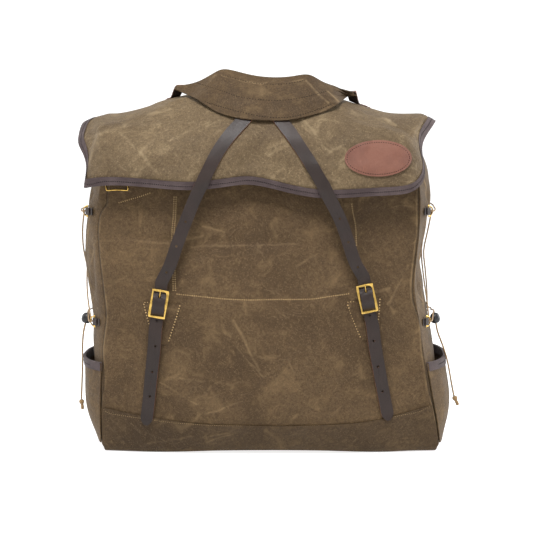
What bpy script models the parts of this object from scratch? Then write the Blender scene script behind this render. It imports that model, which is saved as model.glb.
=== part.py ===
"""A canoe pack of waxed canvas: a wide hollow bag with a second layer round its base, a draped lid
with a bound edge, two long leather straps with brass buckles, side pockets, side lacing, a
tumpline and two shoulder straps. Metres, +Z up, the front faces -Y, the origin is on the floor
under the middle of the base.
"""

import math

import bmesh
import bpy
import numpy as np
from mathutils import Matrix, Vector
from mathutils.bvhtree import BVHTree

# Cloth and leather
CANVAS = 0.0018
TAPE = 0.0009
LEATHER = 0.0026
THIN_LEATHER = 0.0014
GAP = 0.0004
LAY = 0.0008
BOOT_GAP = 0.0014

# Body
BASE_RADIUS = 0.012
BASE_LEVEL = CANVAS + BOOT_GAP
BASE_ARCH = 0.006
FRONT_STEPS = 12
SIDE_STEPS = 6

# Straps and fittings
STRAP_WIDTH = 0.022
BUCKLE_WIDTH = 0.030
BUCKLE_HEIGHT = 0.050
BUCKLE_WIRE = 0.0034
BUCKLE_BAR = 0.0026
PRONG_RADIUS = 0.0009
CHAPE_WIDTH = 0.0185
HOLE_RADIUS = 0.0021
CORD = 0.0026
RING_WIDTH = 0.020
RING_WIRE = 0.0024
BINDING_WIDTH = 0.014
LOCK_RADIUS = 0.009

# The bag's plan at each height: the x of the front seams, the furthest x of the side panels, the
# y of the front seams, of the middle of the front, of the back, and the x of the back seams.
SECTION_COLUMNS = ("z", "left", "right", "left_bulge", "right_bulge", "seam", "front", "back", "half_back")
SECTIONS = (
    (0.014, -0.297, 0.299, -0.306, 0.307, -0.104, -0.124, 0.112, 0.284),
    (0.050, -0.297, 0.294, -0.314, 0.309, -0.106, -0.134, 0.116, 0.286),
    (0.095, -0.296, 0.285, -0.316, 0.308, -0.107, -0.139, 0.119, 0.285),
    (0.140, -0.294, 0.277, -0.316, 0.302, -0.108, -0.142, 0.121, 0.283),
    (0.190, -0.292, 0.269, -0.320, 0.297, -0.108, -0.142, 0.123, 0.281),
    (0.240, -0.290, 0.262, -0.322, 0.288, -0.108, -0.141, 0.124, 0.279),
    (0.290, -0.294, 0.254, -0.326, 0.280, -0.107, -0.139, 0.124, 0.277),
    (0.345, -0.300, 0.257, -0.329, 0.273, -0.105, -0.134, 0.123, 0.275),
    (0.400, -0.302, 0.262, -0.328, 0.284, -0.102, -0.127, 0.121, 0.273),
    (0.450, -0.300, 0.263, -0.323, 0.295, -0.099, -0.122, 0.119, 0.270),
    (0.495, -0.290, 0.258, -0.312, 0.287, -0.093, -0.112, 0.117, 0.264),
    (0.530, -0.276, 0.248, -0.296, 0.272, -0.084, -0.099, 0.115, 0.256),
)
BODY_LEVELS = (0.0, 0.007, 0.0142, 0.05, 0.095, 0.15, 0.20, 0.25, 0.295, 0.34, 0.382, 0.40, 0.44, 0.485, 0.53)

# Folds of the front panel: from and to, as shares of its width and heights, with width and depth.
FOLD_COLUMNS = ("s0", "z0", "s1", "z1", "width", "depth")
FOLDS = (
    (0.00, 0.384, 0.62, 0.380, 0.016, -0.0030),
    (0.10, 0.430, 0.30, 0.300, 0.030, 0.0020),
    (0.62, 0.300, 0.98, 0.440, 0.035, -0.0025),
    (0.20, 0.170, 0.42, 0.100, 0.035, 0.0025),
    (0.55, 0.120, 0.92, 0.200, 0.040, 0.0025),
    (0.42, 0.440, 0.70, 0.410, 0.030, 0.0030),
)

# Height of the boot's seam along the front, left to right.
BOOT_SEAM = (
    (0.0, 0.081), (0.10, 0.071), (0.25, 0.059), (0.45, 0.054), (0.62, 0.054), (0.80, 0.060), (1.0, 0.086),
)
BOOT_BACK = 0.080
BOOT_EDGE = 0.004

# The lid round its edge, counterclockwise from above and ending at its front left corner: the
# ridge between its top and its skirt, how far the skirt bellies out, and the hem.
LID_COLUMNS = ("ridge_x", "ridge_y", "ridge_z", "belly", "hem_x", "hem_y", "hem_z")
LID = (
    (-0.272, -0.107, 0.573, 0.010, -0.283, -0.138, 0.4790),
    (-0.215, -0.112, 0.578, 0.014, -0.215, -0.147, 0.4768),
    (-0.145, -0.113, 0.588, 0.016, -0.142, -0.151, 0.4712),
    (-0.075, -0.112, 0.594, 0.016, -0.072, -0.150, 0.4776),
    (-0.025, -0.112, 0.596, 0.016, -0.030, -0.147, 0.4820),
    (0.035, -0.112, 0.595, 0.016, 0.031, -0.150, 0.4676),
    (0.095, -0.113, 0.590, 0.016, 0.092, -0.153, 0.4580),
    (0.160, -0.112, 0.582, 0.014, 0.160, -0.151, 0.4605),
    (0.215, -0.108, 0.571, 0.010, 0.222, -0.143, 0.4630),
    (0.240, -0.102, 0.563, 0.006, 0.250, -0.133, 0.4700),
    (0.247, -0.094, 0.562, 0.003, 0.270, -0.113, 0.4920),
    (0.250, -0.085, 0.566, 0.001, 0.266, -0.096, 0.5220),
    (0.255, -0.070, 0.574, 0.000, 0.266, -0.074, 0.5480),
    (0.266, -0.035, 0.586, 0.000, 0.284, -0.036, 0.5700),
    (0.276, 0.002, 0.594, 0.000, 0.298, 0.002, 0.5850),
    (0.275, 0.042, 0.595, 0.000, 0.292, 0.046, 0.5710),
    (0.268, 0.086, 0.588, 0.002, 0.282, 0.097, 0.5400),
    (0.250, 0.110, 0.580, 0.003, 0.266, 0.1165, 0.4980),
    (0.130, 0.112, 0.598, 0.004, 0.135, 0.1207, 0.4900),
    (0.000, 0.112, 0.604, 0.004, 0.000, 0.1214, 0.4880),
    (-0.140, 0.112, 0.600, 0.004, -0.145, 0.1207, 0.4900),
    (-0.262, 0.108, 0.584, 0.003, -0.272, 0.1165, 0.4980),
    (-0.284, 0.078, 0.590, 0.002, -0.302, 0.086, 0.5420),
    (-0.292, 0.034, 0.596, 0.000, -0.320, 0.036, 0.5810),
    (-0.300, -0.008, 0.594, 0.000, -0.333, -0.010, 0.5810),
    (-0.304, -0.040, 0.588, 0.000, -0.337, -0.044, 0.5600),
    (-0.306, -0.062, 0.582, 0.000, -0.335, -0.070, 0.5420),
    (-0.304, -0.079, 0.578, 0.001, -0.318, -0.094, 0.5150),
    (-0.300, -0.092, 0.577, 0.004, -0.3215, -0.122, 0.4735),
)

# The lid's binding starts at this station, at the middle of the back, and ends just short of it.
JOIN_STATION = 19
JOIN_SHARE = 0.004

# The height of the top's ridge along x.
CROWN = (
    (-0.300, 0.596), (-0.230, 0.6145), (-0.160, 0.629), (-0.060, 0.644), (0.030, 0.646),
    (0.100, 0.631), (0.150, 0.615), (0.190, 0.604), (0.240, 0.599), (0.300, 0.594),
)
CROWN_HALF_DEPTH = 0.118
CROWN_EDGE = 0.600

# The straps from under the tumpline to the buckle, as seen from the front: x, z, y and the
# clearance to the lid. A row with a y hangs free.
LEFT_STRAP = (
    (-0.0300, 0.6050, None, 0.0014),
    (-0.0380, 0.5965, None, 0.0016),
    (-0.0435, 0.5885, None, 0.0016),
    (-0.0625, 0.5693, None, 0.0014),
    (-0.0760, 0.5535, None, 0.0014),
    (-0.0890, 0.5350, None, 0.0014),
    (-0.0985, 0.5185, None, 0.0016),
    (-0.1065, 0.5030, None, 0.0032),
    (-0.1135, 0.4890, None, 0.0040),
    (-0.1205, 0.4755, None, 0.0049),
    (-0.1300, 0.4540, -0.1520, 0.0),
    (-0.1450, 0.4165, -0.1480, 0.0),
    (-0.1615, 0.3730, -0.1450, 0.0),
    (-0.1740, 0.3370, -0.1430, 0.0),
)
RIGHT_STRAP = (
    (0.0045, 0.6050, None, 0.0014),
    (0.0120, 0.5960, None, 0.0016),
    (0.0176, 0.5875, None, 0.0016),
    (0.0349, 0.5658, None, 0.0014),
    (0.0450, 0.5515, None, 0.0014),
    (0.0560, 0.5360, None, 0.0014),
    (0.0665, 0.5200, None, 0.0016),
    (0.0760, 0.5050, None, 0.0032),
    (0.0850, 0.4900, None, 0.0036),
    (0.0925, 0.4770, None, 0.0040),
    (0.1020, 0.4590, None, 0.0047),
    (0.1200, 0.4215, -0.1490, 0.0),
    (0.1355, 0.3790, -0.1450, 0.0),
    (0.1480, 0.3430, -0.1430, 0.0),
)
# Their free ends below the buckles: x, z, the clearance to the bag and half the width.
LEFT_TAIL = (
    (-0.1975, 0.2260, 0.0094, 0.0110), (-0.2000, 0.1960, 0.0079, 0.0110), (-0.2060, 0.1500, 0.0044, 0.0110),
    (-0.2110, 0.1050, 0.0034, 0.0110), (-0.2148, 0.0740, 0.0034, 0.0110), (-0.2170, 0.0620, 0.0011, 0.0098),
    (-0.2182, 0.0535, 0.0011, 0.0030),
)
RIGHT_TAIL = (
    (0.1770, 0.2320, 0.0088, 0.0110), (0.1808, 0.2050, 0.0070, 0.0110), (0.1890, 0.1590, 0.0044, 0.0110),
    (0.1978, 0.1145, 0.0034, 0.0110), (0.2040, 0.0830, 0.0034, 0.0110), (0.2068, 0.0710, 0.0034, 0.0098),
    (0.2088, 0.0620, 0.0020, 0.0030),
)
LEFT_HOLES = (0.4160, 0.3730, 0.3270, 0.2420, 0.1970, 0.1510, 0.1060)
RIGHT_HOLES = (0.4215, 0.3800, 0.3360, 0.2510, 0.2060, 0.1600, 0.1150)

# Buckles: the middle of each frame as seen from the front, and how far its top leans to +X.
LEFT_BUCKLE = (-0.1932, 0.2715, math.radians(8))
RIGHT_BUCKLE = (0.1688, 0.2800, math.radians(-10))
BUCKLE_STAND = 0.0125
STRAP_CLEAR = 0.0006

VEE_THICKNESS = 0.0012

# Vee patches, seen from the front: the two top corners and the two low ones.
LEFT_VEE = ((-0.2225, 0.2715), (-0.1550, 0.2700), (-0.1775, 0.1990), (-0.2070, 0.1990))
RIGHT_VEE = ((0.1330, 0.2720), (0.1965, 0.2810), (0.1900, 0.2060), (0.1615, 0.2060))

# The tumpline's head band, left to right: its lower and its upper edge.
BAND_COLUMNS = ("x", "low_z", "high_y", "high_z")
BAND = (
    (-0.168, 0.6380, -0.020, 0.6460),
    (-0.146, 0.6275, -0.026, 0.6490),
    (-0.124, 0.6185, -0.034, 0.6560),
    (-0.100, 0.6070, -0.042, 0.6690),
    (-0.080, 0.5990, -0.048, 0.6760),
    (-0.048, 0.5925, -0.054, 0.6690),
    (-0.016, 0.5900, -0.057, 0.6630),
    (0.016, 0.5895, -0.057, 0.6615),
    (0.044, 0.5920, -0.055, 0.6640),
    (0.070, 0.5975, -0.051, 0.6670),
    (0.092, 0.6030, -0.046, 0.6550),
    (0.116, 0.6090, -0.038, 0.6460),
    (0.136, 0.6190, -0.030, 0.6370),
    (0.151, 0.6250, -0.024, 0.6340),
)
BAND_STAND = 0.0100
BAND_CLEAR = 0.0042
BAND_END_CLEAR = 0.0058
BAND_THICKNESS = 0.0026

# The band's tails: how far they run outwards, and where they pass over the lid and down its back
BAND_TAIL = (
    (0.012, 0.012, 0.636), (0.030, 0.070, 0.630), (0.038, 0.105, 0.600), (0.042, 0.128, 0.560),
    (0.044, 0.134, 0.525), (0.044, 0.137, 0.506),
)
TAIL_WIDTH = 0.018
TAIL_OFFSET = 0.0033
TAIL_BEND = (0.080, 0.126)
TAIL_ROWS = 16

# The oval patch on the lid
PATCH_MIDDLE = (0.1864, 0.5245)
PATCH_HALF_WIDTH = 0.0586
PATCH_HALF_HEIGHT = 0.0306
PATCH_CLEAR = 0.0013
PATCH_THICKNESS = 0.0024

# Side pockets, as shares of the side panel's depth and heights
POCKET_ENDS = (0.02, 0.98)
POCKET_FLOOR = 0.016
POCKET_TOP = 0.160
POCKET_BULGE = 0.0155

# D-rings: shares of the side panel's depth, counted from the front seam, and heights
RING_DEPTHS = {"front": 0.13, "rear": 0.87}
RING_HEIGHTS = {"upper": 0.427, "lower": 0.231}
TAB_LENGTH = 0.016
RING_STAND = 0.0038
RING_DEPTH = 0.0110
RING_LEAN = math.radians(20)
# The cord's way through a ring: along the ring from its bar, and off the ring's plane
RING_PASS = ((0.0120, 0.0032), (0.0072, 0.0031), (0.0047, 0.0), (0.0072, -0.0031), (0.0120, -0.0032))
TAB_WIDTH = 0.0125

# Cord locks and knots, and the hanging ends of the lacing between them
LOCKS = {"left": (-0.3300, -0.038, 0.2300), "right": (0.2975, -0.038, 0.2300)}
TAILS = {
    "left": ((-0.3345, -0.045, 0.2090), (-0.3375, -0.040, 0.1850), (-0.3385, -0.035, 0.1550),
             (-0.3400, -0.032, 0.1250), (-0.3415, -0.030, 0.0980), (-0.3425, -0.029, 0.0800)),
    "right": ((0.3010, -0.046, 0.2090), (0.3100, -0.042, 0.1850), (0.3200, -0.038, 0.1550),
              (0.3265, -0.034, 0.1250), (0.3310, -0.031, 0.1020), (0.3345, -0.029, 0.0860)),
}
KNOT_AIM = {"left": (0.12, 0.0, -1.0), "right": (0.45, 0.0, -1.0)}
LOCK_PROFILE = ((-1.05, 0), (-1.0, 0.55), (-0.55, 0.92), (0, 1), (0.55, 0.92), (0.95, 0.55), (1.0, 0))
KNOT_PROFILE = (
    (0, 0), (0.0004, 0.0030), (0.0030, 0.0048), (0.0062, 0.0046), (0.0092, 0.0026), (0.0180, 0.0030),
    (0.0190, 0),
)

# Shoulder straps, for +X: the middle of the padded strap, then of the leather strap below it
SHOULDER_PAD = (
    (0.064, 0.1204, 0.4700), (0.066, 0.1290, 0.4560), (0.072, 0.1470, 0.4280), (0.082, 0.1600, 0.3920),
    (0.095, 0.1660, 0.3500), (0.110, 0.1660, 0.3050), (0.124, 0.1630, 0.2650), (0.134, 0.1600, 0.2400),
)
PAD_WIDTH = 0.058
PAD_THICKNESS = 0.009
LOWER_STRAP = (
    (0.1325, 0.1547, 0.2460), (0.1410, 0.1545, 0.2210), (0.1560, 0.1520, 0.1800), (0.1740, 0.1490, 0.1400),
    (0.1960, 0.1430, 0.1000), (0.2200, 0.1335, 0.0700), (0.2420, 0.1205, 0.0480), (0.2560, 0.1136, 0.0330),
)
ANCHOR_HALF = 0.016

CANVAS_COLOUR = (0.115, 0.075, 0.042)
BOOT_COLOUR = (0.10, 0.066, 0.037)
TAPE_COLOUR = (0.045, 0.034, 0.034)
LEATHER_COLOUR = (0.035, 0.019, 0.016)
PATCH_COLOUR = (0.30, 0.12, 0.08)
BRASS_COLOUR = (0.78, 0.56, 0.18)
CORD_COLOUR = (0.40, 0.26, 0.10)
BLACK_COLOUR = (0.012, 0.012, 0.014)


def clear_scene():
    for obj in list(bpy.data.objects):
        bpy.data.objects.remove(obj, do_unlink=True)


def material(name, colour, roughness, metallic=0.0):
    made = bpy.data.materials.new(name)
    made.use_nodes = True
    shader = made.node_tree.nodes["Principled BSDF"]
    shader.inputs["Base Color"].default_value = (*colour, 1.0)
    shader.inputs["Roughness"].default_value = roughness
    shader.inputs["Metallic"].default_value = metallic
    made.diffuse_color = (*colour, 1.0)
    return made


def hermite(xs, ys, x):
    """A smooth curve through the values ys at xs, read at x. Each value may be a vector."""
    xs = np.asarray(xs, float)
    ys = np.asarray(ys, float)
    x = min(max(x, xs[0]), xs[-1])
    slopes = np.diff(ys, axis=0) / np.diff(xs).reshape(-1, *([1] * (ys.ndim - 1)))
    steps = np.diff(xs).reshape(-1, *([1] * (ys.ndim - 1)))
    inner = (slopes[:-1] * steps[1:] + slopes[1:] * steps[:-1]) / (steps[1:] + steps[:-1])
    tangents = np.concatenate([slopes[:1], inner, slopes[-1:]])
    i = min(int(np.searchsorted(xs, x, side="right")) - 1, len(xs) - 2)
    h = xs[i + 1] - xs[i]
    t = (x - xs[i]) / h
    return (
        (2 * t**3 - 3 * t**2 + 1) * ys[i]
        + (t**3 - 2 * t**2 + t) * h * tangents[i]
        + (3 * t**2 - 2 * t**3) * ys[i + 1]
        + (t**3 - t**2) * h * tangents[i + 1]
    )


def smooth_path(points, count):
    """count points along a smooth curve through the given ones, evenly spaced by length."""
    points = np.array(points, float)
    along = np.concatenate([[0], np.cumsum(np.linalg.norm(np.diff(points, axis=0), axis=1))])
    return np.array([hermite(along, points, x) for x in np.linspace(0, along[-1], count)])


def grid_normals(points, closed):
    """Unit normals of a grid of points: columns run along one side, rows up from it."""
    if closed:
        across = np.roll(points, -1, axis=1) - np.roll(points, 1, axis=1)
    else:
        across = np.gradient(points, axis=1)
    up = np.gradient(points, axis=0)
    normals = np.cross(across, up)
    return normals / np.linalg.norm(normals, axis=2, keepdims=True)


def add_mesh(name, points, faces, look):
    mesh = bpy.data.meshes.new(name)
    mesh.from_pydata([tuple(p) for p in points], [], faces)
    mesh.materials.append(look)
    bm = bmesh.new()
    bm.from_mesh(mesh)
    if bm.calc_volume(signed=True) < 0:
        bmesh.ops.reverse_faces(bm, faces=bm.faces[:])
        bm.to_mesh(mesh)
    bm.free()
    mesh.shade_smooth()
    mesh.set_sharp_from_angle(angle=math.radians(40))
    obj = bpy.data.objects.new(name, mesh)
    bpy.context.scene.collection.objects.link(obj)
    return obj


def wall_faces(quads, points, inside):
    """Outer quads cut along their shorter diagonals, and the inner face behind each triangle.

    Both faces of a thin wall are cut the same way, so that they can't pass through each other.
    """
    faces = []
    for a, b, c, d in quads:
        shorter = np.linalg.norm(points[a] - points[c]) <= np.linalg.norm(points[b] - points[d])
        for half in ((a, b, c), (a, c, d)) if shorter else ((a, b, d), (b, c, d)):
            faces.append(half)
            faces.append(tuple(inside + n for n in reversed(half)))
    return faces


def shell(name, outer, inner, look, closed=False, capped=False):
    """A wall between two grids of points, with its rims, and with its last row filled if capped."""
    rows, columns = outer.shape[:2]
    layers = []
    for layer in (outer, inner):
        middle = layer[-1].mean(axis=0, keepdims=True) if capped else np.empty((0, 3))
        layers += [layer.reshape(-1, 3), middle]
    points = np.concatenate(layers)
    inside = len(points) // 2
    last = columns if closed else columns - 1
    quads = []
    for i in range(rows - 1):
        for j in range(last):
            k = (j + 1) % columns
            quads.append((i * columns + j, i * columns + k, (i + 1) * columns + k, (i + 1) * columns + j))
    faces = wall_faces(quads, points, inside)
    top = (rows - 1) * columns
    for j in range(last):
        k = (j + 1) % columns
        faces += ((k, j, inside + k), (j, inside + j, inside + k))
        if capped:
            faces += ((top + j, top + k, inside - 1), (inside + top + k, inside + top + j, 2 * inside - 1))
        else:
            faces.append((top + j, top + k, inside + top + k, inside + top + j))
    if not closed:
        end = columns - 1
        for i in range(rows - 1):
            a, b = i * columns, (i + 1) * columns
            faces.append((a, b, inside + b, inside + a))
            faces.append((b + end, a + end, inside + a + end, inside + b + end))
    return add_mesh(name, points, faces, look)


def outer_tree(*objects):
    """A search tree over the outer faces of shells, which are the first half of their points."""
    points = []
    faces = []
    for obj in objects:
        start = len(points)
        half = len(obj.data.vertices) // 2
        points += [v.co.copy() for v in obj.data.vertices]
        obj.data.calc_loop_triangles()
        for triangle in obj.data.loop_triangles:
            if max(triangle.vertices) < half:
                faces.append([start + n for n in triangle.vertices])
    return BVHTree.FromPolygons(points, faces)


def lifted(grid, tree, clear, rounds=8):
    """The grid moved off a surface until the edges and middles of its faces clear it as well."""
    grid = grid.copy()
    rows, columns = grid.shape[:2]
    for _ in range(rounds):
        push = np.zeros_like(grid)
        for i in range(rows):
            for j in range(columns):
                for k, m in ((i + 1, j), (i, j + 1), (i + 1, j + 1), (i + 1, j - 1)):
                    if k == rows or m == columns or m < 0:
                        continue
                    for share in (0.0, 0.25, 0.5, 0.75, 1.0):
                        spot = Vector(grid[i, j] * (1 - share) + grid[k, m] * share)
                        place, normal, _, distance = tree.find_nearest(spot)
                        short = clear - (spot - place).dot(normal)
                        if short <= 0 or distance > 0.012:
                            continue
                        for corner in ((i, j), (k, m)):
                            if short > np.linalg.norm(push[corner]):
                                push[corner] = np.array(normal) * short
        grid += push
    return grid


def laid(points, tree, clear, outward):
    """The grid of points moved onto the surface seen along -outward, each row its height above it."""
    moved = points.copy()
    outward = np.broadcast_to(outward, (len(points), 3))
    for i, row in enumerate(points):
        away = Vector(outward[i]).normalized()
        for j, point in enumerate(row):
            place, normal, _, _ = tree.ray_cast(Vector(point) + away * 0.08, -away, 0.16)
            if place is not None:
                height = clear[i] if np.ndim(clear) else clear
                moved[i, j] = place + normal * height
    return moved


def front_of(tree, x, z):
    """The surface's foremost point at this x and z, or its nearest one where it is lower."""
    hit = tree.ray_cast(Vector((x, -0.5, z)), Vector((0, 1, 0)))[0]
    return hit if hit is not None else tree.find_nearest(Vector((x, -0.03, z)))[0]


def ribbon_grid(path, outward, half_widths, columns=3):
    """Points of a flat strap along a path, as rows across it."""
    path = np.asarray(path, float)
    along = np.gradient(path, axis=0)
    along /= np.linalg.norm(along, axis=1, keepdims=True)
    side = np.cross(along, np.broadcast_to(outward, path.shape))
    side /= np.linalg.norm(side, axis=1, keepdims=True)
    half_widths = np.broadcast_to(half_widths, len(path))
    shares = np.linspace(-1, 1, columns)
    return path[:, None] + side[:, None] * shares[None, :, None] * half_widths[:, None, None]


def ribbon(name, grid, thickness, look):
    """A strap that starts at the grid and is as thick as given, outwards."""
    return shell(name, grid + grid_normals(grid, False) * thickness, grid, look)


def loop_tab(name, start, bar, side, away, reach, width, look, thickness=THIN_LEATHER, turns_back=0.55):
    """A strip that runs from start past a bar, round it and part of the way back.

    reach is the radius that it clears round the bar, side the bar's direction, and away the
    direction out of the surface that it lies on.
    """
    start, bar = Vector(start), Vector(bar)
    side, away = Vector(side).normalized(), Vector(away).normalized()
    along = side.cross(away).normalized()
    if along.dot(bar - start) < 0:
        along = -along
    radius = reach + GAP + thickness / 2
    path = [start]
    near = bar - along * radius * 1.2
    path.append(near - away * radius)
    for step in range(7):
        angle = -math.pi / 2 + math.pi * step / 6
        path.append(bar + along * math.cos(angle) * radius + away * math.sin(angle) * radius)
    home = bar.lerp(start, turns_back)
    low = (start + away * (thickness + GAP)).lerp(bar - away * radius, 1 - turns_back)
    path.append(home.lerp(low + away * (thickness + GAP), 0.75))
    path = np.array([tuple(p) for p in path])
    across = np.array(side) * width / 2
    grid = np.stack([path - across, path + across], axis=1)
    offset = grid_normals(grid, False) * thickness / 2
    return shell(name, grid + offset, grid - offset, look)


def tube(name, points, radius, look, resolution=2, cyclic=False):
    curve = bpy.data.curves.new(name, "CURVE")
    curve.dimensions = "3D"
    curve.bevel_depth = radius
    curve.bevel_resolution = resolution
    curve.use_fill_caps = True
    line = curve.splines.new("POLY")
    line.points.add(len(points) - 1)
    for target, point in zip(line.points, points):
        target.co = (*point, 1.0)
    line.use_cyclic_u = cyclic
    curve.materials.append(look)
    obj = bpy.data.objects.new(name, curve)
    bpy.context.scene.collection.objects.link(obj)
    return obj


def turned(name, profile, place, aim, look, sides=10):
    """A turned solid: profile rows are distance along the aim and radius, from pole to pole."""
    turn = Vector((0, 0, 1)).rotation_difference(Vector(aim).normalized()).to_matrix()
    points = [Vector(place) + turn @ Vector((0, 0, profile[0][0]))]
    for height, radius in profile[1:-1]:
        for n in range(sides):
            angle = 2 * math.pi * n / sides
            local = Vector((radius * math.cos(angle), radius * math.sin(angle), height))
            points.append(Vector(place) + turn @ local)
    points.append(Vector(place) + turn @ Vector((0, 0, profile[-1][0])))
    rings = len(profile) - 2
    end = len(points) - 1
    faces = []
    for n in range(sides):
        m = (n + 1) % sides
        faces.append((0, 1 + m, 1 + n))
        faces.append((end, 1 + (rings - 1) * sides + n, 1 + (rings - 1) * sides + m))
        for r in range(rings - 1):
            a = 1 + r * sides
            faces.append((a + n, a + m, a + sides + m, a + sides + n))
    return add_mesh(name, points, faces, look)


def section_at(z):
    table = np.array(SECTIONS)
    values = hermite(table[:, 0], table[:, 1:], z)
    return dict(zip(SECTION_COLUMNS[1:], values))


def fold_height(s, z, width):
    """How far the folds move the front panel outwards at this share of its width."""
    total = 0.0
    for row in FOLDS:
        fold = dict(zip(FOLD_COLUMNS, row))
        start = Vector((fold["s0"] * width, fold["z0"]))
        end = Vector((fold["s1"] * width, fold["z1"]))
        here = Vector((s * width, z))
        share = min(max((here - start).dot(end - start) / (end - start).length_squared, 0), 1)
        distance = (here - start.lerp(end, share)).length
        total += fold["depth"] * math.exp(-((distance / fold["width"]) ** 2))
    return total


def plan_point(u, z):
    """The bag's outline at a height: u runs 0 to 4, a whole number at each of the four seams."""
    c = section_at(z)
    panel = int(u) % 4
    s = u - math.floor(u)
    belly = 1 - abs(2 * s - 1) ** 2.5
    if panel == 0:
        fold = fold_height(s, z, c["right"] - c["left"]) * min(1, 8 * s, 8 * (1 - s))
        x = c["left"] + (c["right"] - c["left"]) * s
        return np.array([x, c["seam"] + (c["front"] - c["seam"]) * belly - fold])
    if panel == 2:
        return np.array([c["half_back"] * (1 - 2 * s), c["back"] - 0.006 + 0.006 * belly])
    if panel == 1:
        start = np.array([c["right"], c["seam"]])
        end = np.array([c["half_back"], c["back"] - 0.006])
        out = c["right_bulge"] - (start[0] + end[0]) / 2
    else:
        start = np.array([-c["half_back"], c["back"] - 0.006])
        end = np.array([c["left"], c["seam"]])
        out = c["left_bulge"] - (start[0] + end[0]) / 2
    return start + (end - start) * s + np.array([out * belly, 0])


def plan_normal(u, z):
    panel = math.floor(u + 1e-9)
    low = max(u - 0.01, panel) if u > panel + 1e-6 else u
    a, b = plan_point(low, z), plan_point(min(low + 0.02, panel + 0.999), z)
    if abs(u - round(u)) < 1e-6:
        a, b = plan_point((u - 0.03) % 4, z), plan_point((u + 0.03) % 4, z)
    along = (b - a) / np.linalg.norm(b - a)
    return np.array([along[1], -along[0]])


def arch(x, y):
    """How far the base is lifted between its front corners."""
    across = max(0.0, 1 - (x / 0.17) ** 2)
    near = min(max((-y - 0.055) / 0.045, 0.0), 1.0)
    return BASE_ARCH * across * near


def skin(u, level, out=0.0):
    """A point of the bag's outer face, or out from it. Levels under the corner run round it."""
    corner = BASE_LEVEL + BASE_RADIUS
    z = max(level, corner)
    xy = plan_point(u, z)
    normal = plan_normal(u, z)
    if level >= corner:
        xy = xy + normal * out
        return np.array([xy[0], xy[1], level])
    angle = level / corner * math.pi / 2
    xy = xy + normal * ((BASE_RADIUS + out) * math.sin(angle) - BASE_RADIUS)
    height = corner - (BASE_RADIUS + out) * math.cos(angle)
    return np.array([xy[0], xy[1], height + arch(xy[0], xy[1]) * (1 - level / corner)])


def base_point(s, r, out=0.0):
    """A point of the base, between the four edges where the walls turn under it."""
    front, back = skin(s, 0, out), skin(3 - s, 0, out)
    left, right = skin((4 - r) % 4, 0, out), skin(1 + r, 0, out)
    corners = (skin(0, 0, out), skin(1, 0, out), skin(3, 0, out), skin(2, 0, out))
    flat = (1 - s) * (1 - r) * corners[0] + s * (1 - r) * corners[1]
    flat = flat + (1 - s) * r * corners[2] + s * r * corners[3]
    point = (1 - r) * front + r * back + (1 - s) * left + s * right - flat
    point[2] = BASE_LEVEL - out + arch(point[0], point[1])
    return point


def panel_shares():
    around = [n / FRONT_STEPS for n in range(FRONT_STEPS)]
    around += [1 + n / SIDE_STEPS for n in range(SIDE_STEPS)]
    around += [2 + n / FRONT_STEPS for n in range(FRONT_STEPS)]
    around += [3 + n / SIDE_STEPS for n in range(SIDE_STEPS)]
    return around


def body_shell(look):
    """The bag: its four walls and its base, open at the top."""
    around = panel_shares()
    columns = len(around)
    points = []
    loops = []
    for out in (0.0, -CANVAS):
        loop = {}
        for i, level in enumerate(BODY_LEVELS):
            for j, u in enumerate(around):
                loop[(i, j)] = len(points)
                points.append(skin(u, level, out))
        for r in range(1, SIDE_STEPS):
            for s in range(1, FRONT_STEPS):
                loop[("base", r, s)] = len(points)
                points.append(base_point(s / FRONT_STEPS, r / SIDE_STEPS, out))
        loops.append(loop)

    def base_index(loop, r, s):
        if r == 0:
            return loop[(0, s)]
        if r == SIDE_STEPS:
            return loop[(0, 2 * FRONT_STEPS + SIDE_STEPS - s)]
        if s == 0:
            return loop[(0, columns - r)]
        if s == FRONT_STEPS:
            return loop[(0, FRONT_STEPS + r)]
        return loop[("base", r, s)]

    outer, inner = loops
    quads = []
    for i in range(len(BODY_LEVELS) - 1):
        for j in range(columns):
            k = (j + 1) % columns
            quads.append((outer[(i, j)], outer[(i, k)], outer[(i + 1, k)], outer[(i + 1, j)]))
    for r in range(SIDE_STEPS):
        for s in range(FRONT_STEPS):
            corners = ((r, s), (r + 1, s), (r + 1, s + 1), (r, s + 1))
            quads.append(tuple(base_index(outer, *corner) for corner in corners))
    faces = wall_faces(quads, points, len(points) // 2)
    top = len(BODY_LEVELS) - 1
    for j in range(columns):
        k = (j + 1) % columns
        faces.append((outer[(top, j)], outer[(top, k)], inner[(top, k)], inner[(top, j)]))
    return add_mesh("body_shell", points, faces, look)


def wall_facet(u, level, out):
    """A point out from the wall as the body shell has it, between its own levels and columns."""
    k = max(n for n, known in enumerate(BODY_LEVELS[:-1]) if known <= level)
    low, high = BODY_LEVELS[k], BODY_LEVELS[k + 1]
    share = (level - low) / (high - low)
    s = u * FRONT_STEPS
    left, right = math.floor(s) / FRONT_STEPS, math.ceil(s) / FRONT_STEPS
    across = s - math.floor(s)

    def along(height):
        return skin(left, height, out) * (1 - across) + skin(right, height, out) * across

    return along(low) * (1 - share) + along(high) * share


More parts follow.
